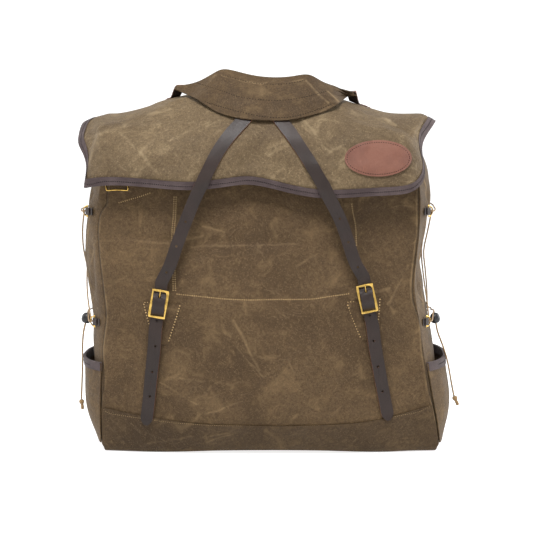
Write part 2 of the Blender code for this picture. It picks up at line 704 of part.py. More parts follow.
def base_boot(look):
    """The second layer: up the front to its curved seam, under the base and up the back."""
    seam = np.array(BOOT_SEAM)
    foot = BODY_LEVELS[1:4]

    def column(s, out):
        seam_z = float(hermite(seam[:, 0], seam[:, 1], s))
        rows = [wall_facet(3 - s, level, out) for level in (BOOT_BACK, *reversed(foot))]
        rows += [base_point(s, r / SIDE_STEPS, out) for r in range(SIDE_STEPS, -1, -1)]
        rows += [wall_facet(s, level, out) for level in (*foot, seam_z)]
        return rows

    shares = [max(BOOT_EDGE, min(1 - BOOT_EDGE, n / FRONT_STEPS)) for n in range(FRONT_STEPS + 1)]
    inner = np.array([column(s, BOOT_GAP) for s in shares]).transpose(1, 0, 2)
    outer = np.array([column(s, BOOT_GAP + CANVAS) for s in shares]).transpose(1, 0, 2)
    return shell("base_boot", outer, inner, look)


def crown_height(x, y):
    """Height of the lid's top over a point of the plan."""
    table = np.array(CROWN)
    top = float(hermite(table[:, 0], table[:, 1], x))
    edge = CROWN_EDGE - 0.30 * x * x
    return edge + (top - edge) * (1 - (y / CROWN_HALF_DEPTH) ** 2)


def lid_grid():
    """The lid's outer face: rows from the hem up over the ridge to the middle of the top."""
    grid = []
    for station in LID:
        row = dict(zip(LID_COLUMNS, station))
        ridge = np.array([row["ridge_x"], row["ridge_y"], row["ridge_z"]])
        hem = np.array([row["hem_x"], row["hem_y"], row["hem_z"]])
        out = np.array([hem[0] * 0.25, hem[1], 0.0])
        out /= np.linalg.norm(out)
        bound = 1 - BINDING_WIDTH / np.linalg.norm(hem - ridge)
        points = [hem]
        for g in (bound, bound * 0.68, bound * 0.34, 0.0):
            points.append(ridge + (hem - ridge) * g + out * row["belly"] * 4 * g * (1 - g))
        for f in (0.88, 0.68, 0.44, 0.18):
            x, y = ridge[0] * f, ridge[1] * f
            blend = f**5
            points.append(np.array([x, y, crown_height(x, y) * (1 - blend) + ridge[2] * blend]))
        grid.append(points)
    return np.array(grid).transpose(1, 0, 2)


def lid_pieces(canvas, tape):
    outer = lid_grid()
    normals = grid_normals(outer, True)
    normals[0] = normals[1]
    inner = outer - normals * CANVAS
    lid = shell("lid", outer, inner, canvas, closed=True, capped=True)
    rings = []
    for ring in (outer[1], outer[0], inner[0], inner[1], normals[0]):
        ring = np.roll(ring, -JOIN_STATION, axis=0)
        rings.append(np.vstack([ring, ring[0] * (1 - JOIN_SHARE) + ring[-1] * JOIN_SHARE]))
    return lid, edge_binding("lid_binding", *rings, tape)


def edge_binding(name, low_out, edge_out, edge_in, low_in, normals, look):
    """Tape folded over an edge: a U round the cloth, from one face to the other.

    Its faces are cut the way that the cloth's are, by each section corner's rank from the edge.
    """
    ranks = (2, 0, 1, 3, 3, 1, 0, 2)
    down = np.linalg.norm(edge_out[:-1] - low_out[1:], axis=1)
    up = np.linalg.norm(edge_out[1:] - low_out[:-1], axis=1)
    onward = edge_out - low_out
    onward /= np.linalg.norm(onward, axis=1, keepdims=True)
    near, far = GAP, GAP + TAPE
    sections = np.stack(
        [
            low_in - normals * near,
            edge_in - normals * near + onward * near,
            edge_out + normals * near + onward * near,
            low_out + normals * near,
            low_out + normals * far,
            edge_out + normals * far + onward * far,
            edge_in - normals * far + onward * far,
            low_in - normals * far,
        ],
        axis=1,
    )
    count, sides = sections.shape[:2]
    faces = [tuple(reversed(range(sides))), tuple((count - 1) * sides + j for j in range(sides))]
    for i in range(count - 1):
        for j in range(sides):
            k = (j + 1) % sides
            a, b, c, d = (i * sides + j, i * sides + k, (i + 1) * sides + k, (i + 1) * sides + j)
            rim = ranks[j] + ranks[k] == 1
            first = ranks[j] > ranks[k] if rim else (ranks[j] < ranks[k]) == (down[i] <= up[i])
            faces += ((a, b, c), (a, c, d)) if first else ((a, b, d), (b, c, d))
    return add_mesh(name, sections.reshape(-1, 3), faces, look)


def strap_path(rows, tree):
    """The strap's middle line from the lid's top down to its buckle."""
    return [(x, front_of(tree, x, z).y if y is None else y, z) for x, z, y, _ in rows]


def buckle_frame_axes(place, lean, tree):
    """The middle of a buckle over the body, and its directions across, up and outwards."""
    x, z = place
    hit = front_of(tree, x, z)
    above = front_of(tree, x, z + 0.03)
    below = front_of(tree, x, z - 0.03)
    up = (above - below).normalized()
    out = up.cross(Vector((-1, 0, 0))).normalized()
    if out.y > 0:
        out = -out
    across = up.cross(out)
    if across.x < 0:
        across = -across
    turn = Matrix.Rotation(lean, 3, -out)
    return hit + out * BUCKLE_STAND, turn @ across, turn @ up, out


def buckle(name, middle, across, up, out, width, height, look):
    """A cast frame with a bar across its middle, the sides flat and the corners round."""
    half, tall, wire, bar = width / 2, height / 2, BUCKLE_WIRE, BUCKLE_BAR
    xs = (-half, -half + wire, half - wire, half)
    zs = (-tall, -tall + wire, -bar / 2, bar / 2, tall - wire, tall)
    holes = {(1, 1), (1, 3)}
    bm = bmesh.new()
    grid = {(i, j): bm.verts.new((x, 0, z)) for i, x in enumerate(xs) for j, z in enumerate(zs)}
    for i in range(len(xs) - 1):
        for j in range(len(zs) - 1):
            if (i, j) not in holes:
                bm.faces.new((grid[i, j], grid[i + 1, j], grid[i + 1, j + 1], grid[i, j + 1]))
    made = bmesh.ops.extrude_face_region(bm, geom=bm.faces[:])
    moved = [v for v in made["geom"] if isinstance(v, bmesh.types.BMVert)]
    bmesh.ops.translate(bm, verts=moved, vec=(0, wire, 0))
    bmesh.ops.translate(bm, verts=bm.verts[:], vec=(0, -wire / 2, 0))
    corners = [
        edge for edge in bm.edges
        if abs(edge.verts[0].co.y - edge.verts[1].co.y) > wire / 2
        and abs(abs(edge.verts[0].co.x) - half) < 1e-6
        and abs(abs(edge.verts[0].co.z) - tall) < 1e-6
    ]
    bmesh.ops.bevel(bm, geom=corners, offset=wire * 0.8, segments=2, affect="EDGES", profile=0.5)
    turn = Matrix((tuple(across), tuple(-out), tuple(up))).transposed()
    for vert in bm.verts:
        vert.co = middle + turn @ vert.co
    bmesh.ops.recalc_face_normals(bm, faces=bm.faces[:])
    mesh = bpy.data.meshes.new(name)
    bm.to_mesh(mesh)
    bm.free()
    mesh.materials.append(look)
    obj = bpy.data.objects.new(name, mesh)
    bpy.context.scene.collection.objects.link(obj)
    return obj


def prong(name, middle, up, out, height, look):
    """The buckle's prong: an open eye round the bar and a tongue that rests on the top bar."""
    eye = math.hypot(BUCKLE_BAR, BUCKLE_WIRE) / 2 + GAP + PRONG_RADIUS
    front = BUCKLE_WIRE / 2 + GAP + PRONG_RADIUS
    points = []
    for step in range(9):
        angle = math.radians(60 - 30 * step)
        points.append(middle - up * math.cos(angle) * eye + out * math.sin(angle) * eye)
    points = points[:8]
    for rise, stand in ((0.0052, 0.0014), (0.0110, 0.0020), (height / 2 - BUCKLE_WIRE, front),
                        (height / 2 + 0.0012, front)):
        points.append(middle + up * rise + out * stand)
    return tube(name, points, PRONG_RADIUS, look, resolution=1)


def chape(name, middle, across, up, out, foot, look):
    """The short strap that holds the buckle: up behind it, round its bar and down again."""
    reach = math.hypot(BUCKLE_BAR, BUCKLE_WIRE) / 2 + GAP + THIN_LEATHER / 2
    stand = (foot - middle).dot(out)
    length = (foot - middle).dot(up)
    path = [
        middle + up * length + out * stand,
        middle + up * (length * 0.55) + out * (stand + 0.0006),
        middle - up * 0.0260 + out * (stand + 0.0014),
        middle - up * 0.0120 - out * (reach + 0.0020),
    ]
    for step in range(7):
        angle = -math.pi / 2 + math.pi * step / 6
        path.append(middle + up * math.cos(angle) * reach + out * math.sin(angle) * reach)
    path += [
        middle - up * 0.0060 + out * (reach - 0.0010),
        middle - up * 0.0130 - out * 0.0022,
        middle - up * 0.0216 - out * 0.0060,
        middle - up * 0.0265 - out * 0.0062,
        middle - up * 0.0390 + out * (stand + 0.0022),
    ]
    path = np.array([tuple(p) for p in path])
    side = np.array(across) * CHAPE_WIDTH / 2
    grid = np.stack([path - side, path, path + side], axis=1)
    offset = grid_normals(grid, False) * THIN_LEATHER / 2
    strip = shell(name, grid + offset, grid - offset, look)
    bm = bmesh.new()
    made = bmesh.ops.create_cube(bm, size=1.0)
    turn = Matrix((tuple(across), tuple(-out), tuple(up))).transposed()
    for vert in made["verts"]:
        x, y, z = vert.co
        vert.co = middle + turn @ Vector((x * 0.0036, y * 0.0140, z * 0.0150))
    add_cutter(strip, bm)
    return strip


def add_cutter(obj, bm):
    """Cuts the shape in bm out of the object."""
    bmesh.ops.recalc_face_normals(bm, faces=bm.faces[:])
    mesh = bpy.data.meshes.new(obj.name + "_cutter")
    bm.to_mesh(mesh)
    bm.free()
    cutter = bpy.data.objects.new(obj.name + "_cutter", mesh)
    bpy.context.scene.collection.objects.link(cutter)
    cutter.hide_render = True
    cutter.display_type = "WIRE"
    cut = obj.modifiers.new("cut", "BOOLEAN")
    cut.object = cutter
    cut.solver = "EXACT"


def punch(strap, pins):
    """Round holes through a strap: for each its place, its direction and its radius."""
    bm = bmesh.new()
    for place, aim, radius in pins:
        made = bmesh.ops.create_cone(
            bm, cap_ends=True, segments=8, radius1=radius, radius2=radius, depth=0.016
        )
        turn = Vector((0, 0, 1)).rotation_difference(aim).to_matrix().to_4x4()
        bmesh.ops.transform(bm, matrix=Matrix.Translation(place) @ turn, verts=made["verts"])
    add_cutter(strap, bm)


def closure(side, rows, tail, holes, place, lid_tree, wall_tree, looks):
    """One closure strap with its buckle and prong: the buckle's middle and its directions."""
    middle, across, up, out = buckle_frame_axes(place[:2], place[2], wall_tree)
    half = BUCKLE_HEIGHT / 2
    behind = -(BUCKLE_WIRE / 2 + GAP + LEATHER)
    over = math.hypot(BUCKLE_BAR, BUCKLE_WIRE) / 2 + 2 * GAP + 2 * PRONG_RADIUS
    weave = (
        (0.0400, behind + 0.0010), (half + 0.0020, behind), (half - BUCKLE_WIRE, behind),
        (0.0160, behind + 0.0019), (0.0110, 0.0022), (0.0055, over - 0.0006), (0.0000, over),
        (-0.0060, over - 0.0008), (-0.0140, behind + 0.0036), (-half + BUCKLE_WIRE, behind),
        (-half - 0.0020, behind),
    )
    path = strap_path(rows, lid_tree)
    path += [tuple(middle + up * rise + out * stand) for rise, stand in weave]
    path += [(x, front_of(wall_tree, x, z).y - clear, z) for x, z, clear, _ in tail]
    path = np.array([tuple(p) for p in path])
    widths = np.full(len(path), STRAP_WIDTH / 2)
    widths[-len(tail):] = [row[3] for row in tail]
    grid = ribbon_grid(path, (0, -1, 0), widths)
    lying = [n for n, row in enumerate(rows) if row[2] is None]
    grid[lying] = laid(grid[lying], lid_tree, [rows[n][3] for n in lying], (0, -1, 0))
    grid[lying] = lifted(grid[lying], lid_tree, STRAP_CLEAR)
    grid[-len(tail):] = laid(grid[-len(tail):], wall_tree, [row[2] for row in tail], (0, -1, 0))
    strap = ribbon(f"closure_strap_{side}", grid, LEATHER, looks["leather"])
    line = path[np.argsort(path[:, 2])]
    pins = []
    for z in holes:
        spot = Vector([np.interp(z, line[:, 2], line[:, n]) for n in range(3)])
        pins.append((spot, out, HOLE_RADIUS))
    pins.append((middle + up * 0.0125 + out * 0.0022, (out + up * 0.5).normalized(), HOLE_RADIUS * 1.5))
    punch(strap, pins)
    buckle(f"buckle_frame_{side}", middle, across, up, out, BUCKLE_WIDTH, BUCKLE_HEIGHT, looks["brass"])
    prong(f"buckle_prong_{side}", middle, up, out, BUCKLE_HEIGHT, looks["brass"])
    return middle, across, up, out


def mapped_patch(name, corners, steps, tree, clear, thickness, look):
    """A patch laid on a surface: its corners as seen from the front, top left first, clockwise."""
    top_left, top_right, low_right, low_left = (np.array(c) for c in corners)
    grid = []
    for r in np.linspace(0, 1, steps[1] + 1):
        row = []
        for s in np.linspace(0, 1, steps[0] + 1):
            low = low_left + (low_right - low_left) * s
            high = top_left + (top_right - top_left) * s
            x, z = low + (high - low) * r
            y = front_of(tree, x, z).y
            row.append((x, y - clear, z))
        grid.append(row)
    return ribbon(name, np.array(grid), thickness, look)


def leather_patch(tree, look):
    """The oval on the lid: rings of points laid on the canvas."""
    rings = (1.0, 0.76, 0.5, 0.22)
    count = 24
    grid = []
    for share in rings:
        row = []
        for n in range(count):
            angle = 2 * math.pi * n / count
            x = PATCH_MIDDLE[0] + PATCH_HALF_WIDTH * share * math.cos(angle)
            z = PATCH_MIDDLE[1] + PATCH_HALF_HEIGHT * share * math.sin(angle)
            row.append((x, front_of(tree, x, z).y - PATCH_CLEAR, z))
        grid.append(row)
    inner = lifted(np.array(grid), tree, PATCH_CLEAR / 2)
    outer = inner - np.array([0, PATCH_THICKNESS, 0])
    return shell("leather_patch", outer, inner, look, closed=True, capped=True)


def tumpline(lid_tree, looks):
    """The head band, leaning back against the lid, and its two leather tails to the back."""
    rows = []
    for row in BAND:
        spot = dict(zip(BAND_COLUMNS, row))
        lying = front_of(lid_tree, spot["x"], spot["low_z"])
        low = np.array([spot["x"], lying.y - BAND_STAND, spot["low_z"]])
        high = np.array([spot["x"] * 0.985, spot["high_y"], spot["high_z"]])
        rows.append([low + (high - low) * t for t in (0, 0.25, 0.5, 0.75, 1)])
    points = np.array(rows).transpose(1, 0, 2)
    bulge = np.array([0, 0.35, 0.45, 0.3, 0]) * 0.012
    width = np.linalg.norm(points[-1] - points[0], axis=1) / 0.09
    points[:, :, 1] -= bulge[:, None] * 0.75 * width[None]
    points[:, :, 2] += bulge[:, None] * 0.65 * width[None]
    points = lifted(points, lid_tree, BAND_CLEAR)
    for end in (slice(0, 3), slice(-3, None)):
        points[:, end] = lifted(points[:, end], lid_tree, BAND_END_CLEAR)
    normals = grid_normals(points, False)
    shell("tumpline_band", points, points - normals * BAND_THICKNESS, looks["canvas"])
    for side, sign, column in (("left", -1, 0), ("right", 1, -1)):
        edge = points[-1, column] + np.array([-sign * TAIL_WIDTH / 2, TAIL_OFFSET, 0])
        route = [tuple(edge)]
        route += [(edge[0] + sign * shift, y, z) for shift, y, z in BAND_TAIL]
        path = smooth_path(route, TAIL_ROWS)
        turn = np.radians(np.clip(np.linspace(0, 130, len(path)), 0, 90))
        outward = np.stack([0 * turn, np.sin(turn), np.cos(turn)], axis=1)
        grid = ribbon_grid(path, outward, TAIL_WIDTH / 2)
        grid[2:] = laid(grid[2:], lid_tree, 2 * GAP, outward[2:])
        grid = lifted(grid, lid_tree, STRAP_CLEAR)
        bend = (path[:, 1] > TAIL_BEND[0]) & (path[:, 1] < TAIL_BEND[1])
        grid[bend] = lifted(grid[bend], lid_tree, 3 * STRAP_CLEAR)
        grid[-4:, :, 1] += 2 * TAPE
        ribbon(f"tumpline_tail_{side}", grid, THIN_LEATHER, looks["leather"])


def side_pockets(canvas, tape):
    """A full pocket on each side, open at its bound top edge."""
    levels = np.array([POCKET_FLOOR, 0.030, 0.060, 0.095, 0.125, POCKET_TOP - BINDING_WIDTH, POCKET_TOP])
    shares = np.linspace(*POCKET_ENDS, 9)

    def fullness(s, z):
        across = 1 - abs(2 * (s - POCKET_ENDS[0]) / (POCKET_ENDS[1] - POCKET_ENDS[0]) - 1) ** 3
        rise = math.sin(min(1.0, (z - POCKET_FLOOR) / 0.075) * math.pi / 2)
        return 0.0019 + POCKET_BULGE * across * rise

    for side, start in (("right", 1), ("left", 3)):
        inner = np.array([[skin(start + s, z, fullness(s, z)) for s in shares] for z in levels])
        outer = np.array([[skin(start + s, z, fullness(s, z) + CANVAS) for s in shares] for z in levels])
        shell(f"side_pocket_{side}", outer, inner, canvas)
        normals = outer[-1] - inner[-1]
        normals /= np.linalg.norm(normals, axis=1, keepdims=True)
        edge_binding(f"pocket_binding_{side}", outer[-2], outer[-1], inner[-1], inner[-2], normals, tape)


def ring_places(side):
    """Each ring's place on a side panel: front or rear, upper or lower, its share and height."""
    for depth_name, depth in RING_DEPTHS.items():
        for height_name, z in RING_HEIGHTS.items():
            u = 1 + depth if side == "right" else 4 - depth
            yield depth_name, height_name, u, z


def ring_frame(u, z, front):
    """Where a ring's bar sits on its side panel, and its directions out, along the panel and up."""
    normal = plan_normal(u, z)
    out = Vector((normal[0], normal[1], 0))
    inward = Vector((-normal[1], normal[0], 0))
    if (inward.y > 0) != front:
        inward = -inward
    return Vector(skin(u, z, RING_STAND)), out, inward, Vector((0, 0, 1))


def side_lacing(side, looks):
    """One side's D-rings on their tabs, and the lacing through them."""
    spots = {}
    for depth_name, height_name, u, z in ring_places(side):
        bar, out, inward, up = ring_frame(u, z, depth_name == "front")
        lean = inward * math.cos(RING_LEAN) + out * math.sin(RING_LEAN)
        half = RING_WIDTH / 2 - RING_WIRE / 2
        points = [bar + up * half * t for t in (-1, 0, 1)]
        for step in range(1, 6):
            angle = math.pi / 2 - math.pi * step / 6
            points.append(bar + up * half * math.sin(angle) + lean * RING_DEPTH * math.cos(angle))
        name = f"{depth_name}_{height_name}_{side}"
        tube(f"d_ring_{name}", points, RING_WIRE / 2, looks["brass"], resolution=1, cyclic=True)
        share = TAB_LENGTH / 0.235
        toward_seam = -share if (depth_name == "front") == (side == "right") else share
        base = Vector(skin(u + toward_seam, z, 2 * GAP + THIN_LEATHER / 2))
        loop_tab(f"ring_tab_{name}", base, bar, up, out, RING_WIRE / 2, TAB_WIDTH, looks["leather"])
        face = out * math.cos(RING_LEAN) - inward * math.sin(RING_LEAN)
        spots[depth_name, height_name] = [bar + lean * along + face * off for along, off in RING_PASS]
    lace(side, spots, looks)


def strand(side, start, end, stands):
    """Points of a cord between two places, each held off the side panel by its stand."""
    points = []
    for n, stand in enumerate(stands):
        point = start.lerp(end, (n + 1) / (len(stands) + 1))
        depth = min(max(side_share(side, point), 0.02), 0.98)
        u = 1 + depth if side == "right" else 4 - depth
        points.append(Vector(skin(u, point.z, stand)))
    return points


def side_share(side, point):
    """How far back along the side panel a point is, from 0 at its front seam to 1."""
    c = section_at(point.z)
    return (point.y - c["seam"]) / (c["back"] - 0.006 - c["seam"])


def lace(side, spots, looks):
    """One side's cord, from its lock through the four rings and back, with its two hanging ends."""
    lock = Vector(LOCKS[side])
    aim = (Vector(TAILS[side][0]) - lock).normalized()
    radius = LOCK_RADIUS
    turned(
        f"cord_lock_{side}", [(radius * along, radius * wide) for along, wide in LOCK_PROFILE],
        lock, aim, looks["black"],
    )
    pole = lock - aim * (radius * -LOCK_PROFILE[0][0] + GAP)
    aside = aim.cross(Vector((1, 0, 0))).normalized() * CORD * 0.62
    if aside.y < 0:
        aside = -aside
    low, high = spots["front", "lower"], spots["front", "upper"]
    low_rear, high_rear = spots["rear", "lower"], spots["rear", "upper"]
    path = [pole - aside, pole - aside - aim * CORD * 2]
    path += low
    path += strand(side, low[-1], high_rear[-1], (0.0040, 0.0026, 0.0026, 0.0040))
    path += reversed(high_rear)
    path += strand(side, high_rear[0], high[0], (0.0080, 0.0060, 0.0080))
    path += high
    path += strand(side, high[-1], low_rear[-1], (0.0050, 0.0064, 0.0064, 0.0050))
    path += reversed(low_rear)
    ending = pole + aside - aim * CORD * 2
    path += strand(side, low_rear[0], ending, (0.0080, 0.0056))
    path += [ending, pole + aside]
    tube(f"side_lacing_{side}", path, CORD / 2, looks["cord"])
    leave = lock + aim * (radius + GAP)
    points = [leave, leave + aim * CORD * 2, *(Vector(p) for p in TAILS[side])]
    middle_line = smooth_path([tuple(p) for p in points], 12)
    for letter, shift in (("a", aside), ("b", -aside)):
        shifted = [Vector(point) + shift for point in middle_line]
        tube(f"lacing_tail_{side}_{letter}", shifted, CORD / 2, looks["cord"])
    end = Vector(middle_line[-1])
    onward = (end - Vector(middle_line[-2])).normalized()
    turned(
        f"lacing_knot_{side}", KNOT_PROFILE,
        end + onward * 2 * GAP, Vector(KNOT_AIM[side]).normalized(), looks["cord"], sides=8,
    )


def lid_loop(body_tree, looks):
    """The brass loop that peeps out under the lid's left corner, on a short leather tab."""
    x, top, low, half = -0.2660, 0.4935, 0.4665, 0.0195
    y = front_of(body_tree, x, top).y - 0.0075
    slope = 0.004
    corners = [(x - half, y, top), (x, y, top), (x + half, y, top), (x + half * 0.96, y - slope, low),
               (x, y - slope, low + 0.001), (x - half * 0.96, y - slope, low)]
    points = []
    for n, here in enumerate(corners):
        here = Vector(here)
        if n in (1, 4):
            points.append(here)
            continue
        before, after = Vector(corners[n - 1]), Vector(corners[(n + 1) % 6])
        points.append(here.lerp(before, 0.0030 / (here - before).length))
        points.append(here.lerp(after, 0.0030 / (here - after).length))
    tube("lid_loop", points, 0.0015, looks["brass"], resolution=1, cyclic=True)
    wall = front_of(body_tree, x, top + 0.018)
    loop_tab("lid_loop_tab", wall - Vector((0, 0.0026, 0)), (x, y, top), (1, 0, 0),
             (0, -1, 0), 0.0019, 0.026, looks["leather"])


def shoulder_straps(looks):
    """Two padded straps on the back, each with a leather strap and an anchor tab."""
    for side, sign in (("left", -1), ("right", 1)):
        mirror = np.array([sign, 1, 1])
        path = smooth_path(np.array(SHOULDER_PAD) * mirror, 11)
        grid = ribbon_grid(path, (0, 1, 0), PAD_WIDTH / 2, 5)
        normals = grid_normals(grid, False)
        crown = np.array([0.35, 0.9, 1.0, 0.9, 0.35]) * PAD_THICKNESS / 2
        ends = np.array([0.45] + [1.0] * 9 + [0.45])
        offset = normals * crown[None, :, None] * ends[:, None, None]
        shell(f"shoulder_strap_{side}", grid + offset, grid - offset, looks["canvas"])
        low_path = smooth_path(np.array(LOWER_STRAP) * mirror, 12)
        low_grid = ribbon_grid(low_path, (0, 1, 0), STRAP_WIDTH / 2, 2)
        ribbon(f"shoulder_lower_{side}", low_grid, LEATHER, looks["leather"])
        over = low_path[-3:] + np.array([0, LEATHER + GAP, 0])
        beyond = over[-1] + (over[-1] - over[-2]) * 0.5
        anchor = np.concatenate([over, beyond[None]])
        anchor_grid = ribbon_grid(anchor, (0, 1, 0), ANCHOR_HALF, 2)
        ribbon(f"shoulder_anchor_{side}", anchor_grid, THIN_LEATHER, looks["leather"])


def main():
    clear_scene()
    looks = {
        "canvas": material("waxed canvas", CANVAS_COLOUR, 0.72),
        "boot": material("boot canvas", BOOT_COLOUR, 0.75),
        "tape": material("binding tape", TAPE_COLOUR, 0.85),
        "leather": material("strap leather", LEATHER_COLOUR, 0.42),
        "patch": material("patch leather", PATCH_COLOUR, 0.55),
        "brass": material("brass", BRASS_COLOUR, 0.25, 1.0),
        "cord": material("waxed cord", CORD_COLOUR, 0.8),
        "black": material("black plastic", BLACK_COLOUR, 0.4),
    }
    body = body_shell(looks["canvas"])
    boot = base_boot(looks["boot"])
    lid, _ = lid_pieces(looks["canvas"], looks["tape"])
    lid_tree = outer_tree(lid)
    body_tree = outer_tree(body)
    wall_tree = outer_tree(body, boot)
    closures = (
        ("left", LEFT_STRAP, LEFT_TAIL, LEFT_HOLES, LEFT_BUCKLE, LEFT_VEE),
        ("right", RIGHT_STRAP, RIGHT_TAIL, RIGHT_HOLES, RIGHT_BUCKLE, RIGHT_VEE),
    )
    for side, rows, tail, holes, place, vee in closures:
        middle, across, up, out = closure(side, rows, tail, holes, place, lid_tree, wall_tree, looks)
        mapped_patch(f"vee_patch_{side}", vee, (3, 4), body_tree, LAY, VEE_THICKNESS, looks["boot"])
        foot_x = (vee[2][0] + vee[3][0]) / 2
        wall = front_of(body_tree, foot_x, vee[2][1] + 0.005)
        foot = wall + out * (LAY + VEE_THICKNESS + THIN_LEATHER / 2 + 3 * GAP)
        foot = foot + across * (middle - foot).dot(across)
        chape(f"buckle_chape_{side}", middle, across, up, out, foot, looks["leather"])
    leather_patch(lid_tree, looks["patch"])
    tumpline(lid_tree, looks)
    side_pockets(looks["canvas"], looks["tape"])
    for side in LOCKS:
        side_lacing(side, looks)
    lid_loop(body_tree, looks)
    shoulder_straps(looks)


main()
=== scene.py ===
import math

import bmesh
import bpy
import numpy as np
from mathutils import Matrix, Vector, noise
from mathutils.bvhtree import BVHTree


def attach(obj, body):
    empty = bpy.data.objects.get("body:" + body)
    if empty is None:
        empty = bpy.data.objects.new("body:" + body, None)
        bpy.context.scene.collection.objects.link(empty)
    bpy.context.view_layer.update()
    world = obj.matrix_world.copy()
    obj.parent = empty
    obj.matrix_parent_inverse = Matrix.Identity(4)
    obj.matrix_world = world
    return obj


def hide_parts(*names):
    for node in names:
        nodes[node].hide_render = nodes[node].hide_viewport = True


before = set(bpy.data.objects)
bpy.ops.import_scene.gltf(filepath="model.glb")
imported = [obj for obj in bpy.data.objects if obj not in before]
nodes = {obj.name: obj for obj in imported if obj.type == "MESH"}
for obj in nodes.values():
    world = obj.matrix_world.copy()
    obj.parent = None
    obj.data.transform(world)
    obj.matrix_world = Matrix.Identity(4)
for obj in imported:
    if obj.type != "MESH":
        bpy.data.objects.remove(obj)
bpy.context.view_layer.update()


# The photographer's camera is some three metres off, a little above the bag and looking slightly
# down. The bag stands on a white sweep in a white room with a dimmer ceiling. One large soft box
# hangs in front and above, and a weaker one stands on each side.
CAMERA_PLACE = (-0.006, -3.0052, 0.7143)
CAMERA_DOWN = math.radians(7.5)
CAMERA_LENS = 112.7
WALL_LIGHT, CEILING_LIGHT = 1.0, 0.34
WALL_ENDS, CEILING_STARTS = 0.10, 0.50
SOFT_BOXES = {
    "key": ((-0.2, -1.4, 2.9), 1.2, 119.0),
    "fill_left": ((-2.4, 0.8, 1.2), 1.4, 28.0),
    "fill_right": ((2.4, 0.8, 1.2), 1.4, 56.0),
}
LIT_PLACE = (0.0, 0.0, 0.3)
SWEEP_HALF = 12.0
SWEEP_BEND = 1.2
SWEEP_GREY = 0.5
SWEEP_GLOW = 0.82


class Wire:
    """An output of a node in a finish. Sums, differences and products of wires add Math nodes."""

    def __init__(self, finish, socket):
        self.finish = finish
        self.socket = socket

    def _math(self, operation, *values):
        inputs = dict(enumerate(values))
        return self.finish.node("ShaderNodeMath", {"operation": operation}, inputs)

    def __add__(self, other):
        return self._math("ADD", self, other)

    def __radd__(self, other):
        return self._math("ADD", other, self)

    def __sub__(self, other):
        return self._math("SUBTRACT", self, other)

    def __rsub__(self, other):
        return self._math("SUBTRACT", other, self)

    def __mul__(self, other):
        return self._math("MULTIPLY", self, other)

    def __rmul__(self, other):
        return self._math("MULTIPLY", other, self)

    def sine(self):
        return self._math("SINE", self)

    def absolute(self):
        return self._math("ABSOLUTE", self)


class Finish:
    """One surface finish: a Principled shader, and the nodes that vary it."""

    def __init__(self, name, sockets):
        self.material = bpy.data.materials.new(name)
        self.material.use_nodes = True
        self.tree = self.material.node_tree
        self.shader = self.tree.nodes["Principled BSDF"]
        self.feed(sockets)

    def node(self, kind, settings, inputs, output=0):
        made = self.tree.nodes.new(kind)
        for key, value in settings.items():
            setattr(made, key, value)
        for key, value in inputs.items():
            self.plug(made.inputs[key], value)
        return Wire(self, made.outputs[output])

    def plug(self, socket, value):
        if isinstance(value, Wire):
            self.tree.links.new(value.socket, socket)
        else:
            socket.default_value = value

    def feed(self, sockets):
        for key, value in sockets.items():
            if isinstance(value, tuple) and len(value) == 3:
                value = (*value, 1.0)
            self.plug(self.shader.inputs[key], value)

    def place(self):
        return self.node("ShaderNodeTexCoord", {}, {}, "Object")

    def cloth_place(self):
        return self.node("ShaderNodeUVMap", {"uv_map": "cloth"}, {})

    def written(self, name):
        return self.node("ShaderNodeAttribute", {"attribute_name": name}, {}, "Fac")

    def part(self, place, axis):
        return self.node("ShaderNodeSeparateXYZ", {}, {0: place}, axis)

    def vector(self, operation, inputs, output=0):
        return self.node("ShaderNodeVectorMath", {"operation": operation}, inputs, output)

    def stretched(self, place, size, turn=0.0):
        """Coordinates for a pattern of this size, turned about the front's normal."""
        inputs = {"Vector": place, "Scale": size, "Rotation": (0.0, turn, 0.0)}
        return self.node("ShaderNodeMapping", {"vector_type": "TEXTURE"}, inputs)

    def streak(self, place, start, end, width):
        """1 on the line from start to end, fading to 0 at its width."""
        run = end - start
        off = self.vector("SUBTRACT", {0: place, 1: start})
        share = self.vector("DOT_PRODUCT", {0: off, 1: run / run.length_squared}, "Value")
        share = self.node("ShaderNodeClamp", {}, {"Value": share})
        along = self.vector("SCALE", {0: run, "Scale": share})
        return self.step(self.vector("DISTANCE", {0: off, 1: along}, "Value"), width, 0.0)

    def grain(self, place, scale, detail=3.0, roughness=0.5, distortion=0.0):
        inputs = {
            "Vector": place, "Scale": scale, "Detail": detail, "Roughness": roughness,
            "Distortion": distortion,
        }
        return self.node("ShaderNodeTexNoise", {}, inputs)

    def step(self, value, low, high, to_low=0.0, to_high=1.0):
        inputs = {"Value": value, "From Min": low, "From Max": high, "To Min": to_low, "To Max": to_high}
        return self.node("ShaderNodeMapRange", {"interpolation_type": "SMOOTHSTEP"}, inputs)

    def blend(self, share, first, second):
        colours = [(*c, 1.0) if isinstance(c, tuple) else c for c in (first, second)]
        inputs = {0: share, 6: colours[0], 7: colours[1]}
        return self.node("ShaderNodeMix", {"data_type": "RGBA"}, inputs, 2)

    def relief(self, height, depth, under=None):
        inputs = {"Height": height, "Distance": depth}
        if under is not None:
            inputs["Normal"] = under
        return self.node("ShaderNodeBump", {}, inputs)


camera_data = bpy.data.cameras.new("camera")
camera_data.lens = CAMERA_LENS
camera = bpy.data.objects.new("camera", camera_data)
camera.location = CAMERA_PLACE
camera.rotation_euler = (math.pi / 2 - CAMERA_DOWN, 0.0, 0.0)
bpy.context.scene.collection.objects.link(camera)
bpy.context.scene.camera = camera
bpy.context.scene.view_settings.view_transform = "Standard"

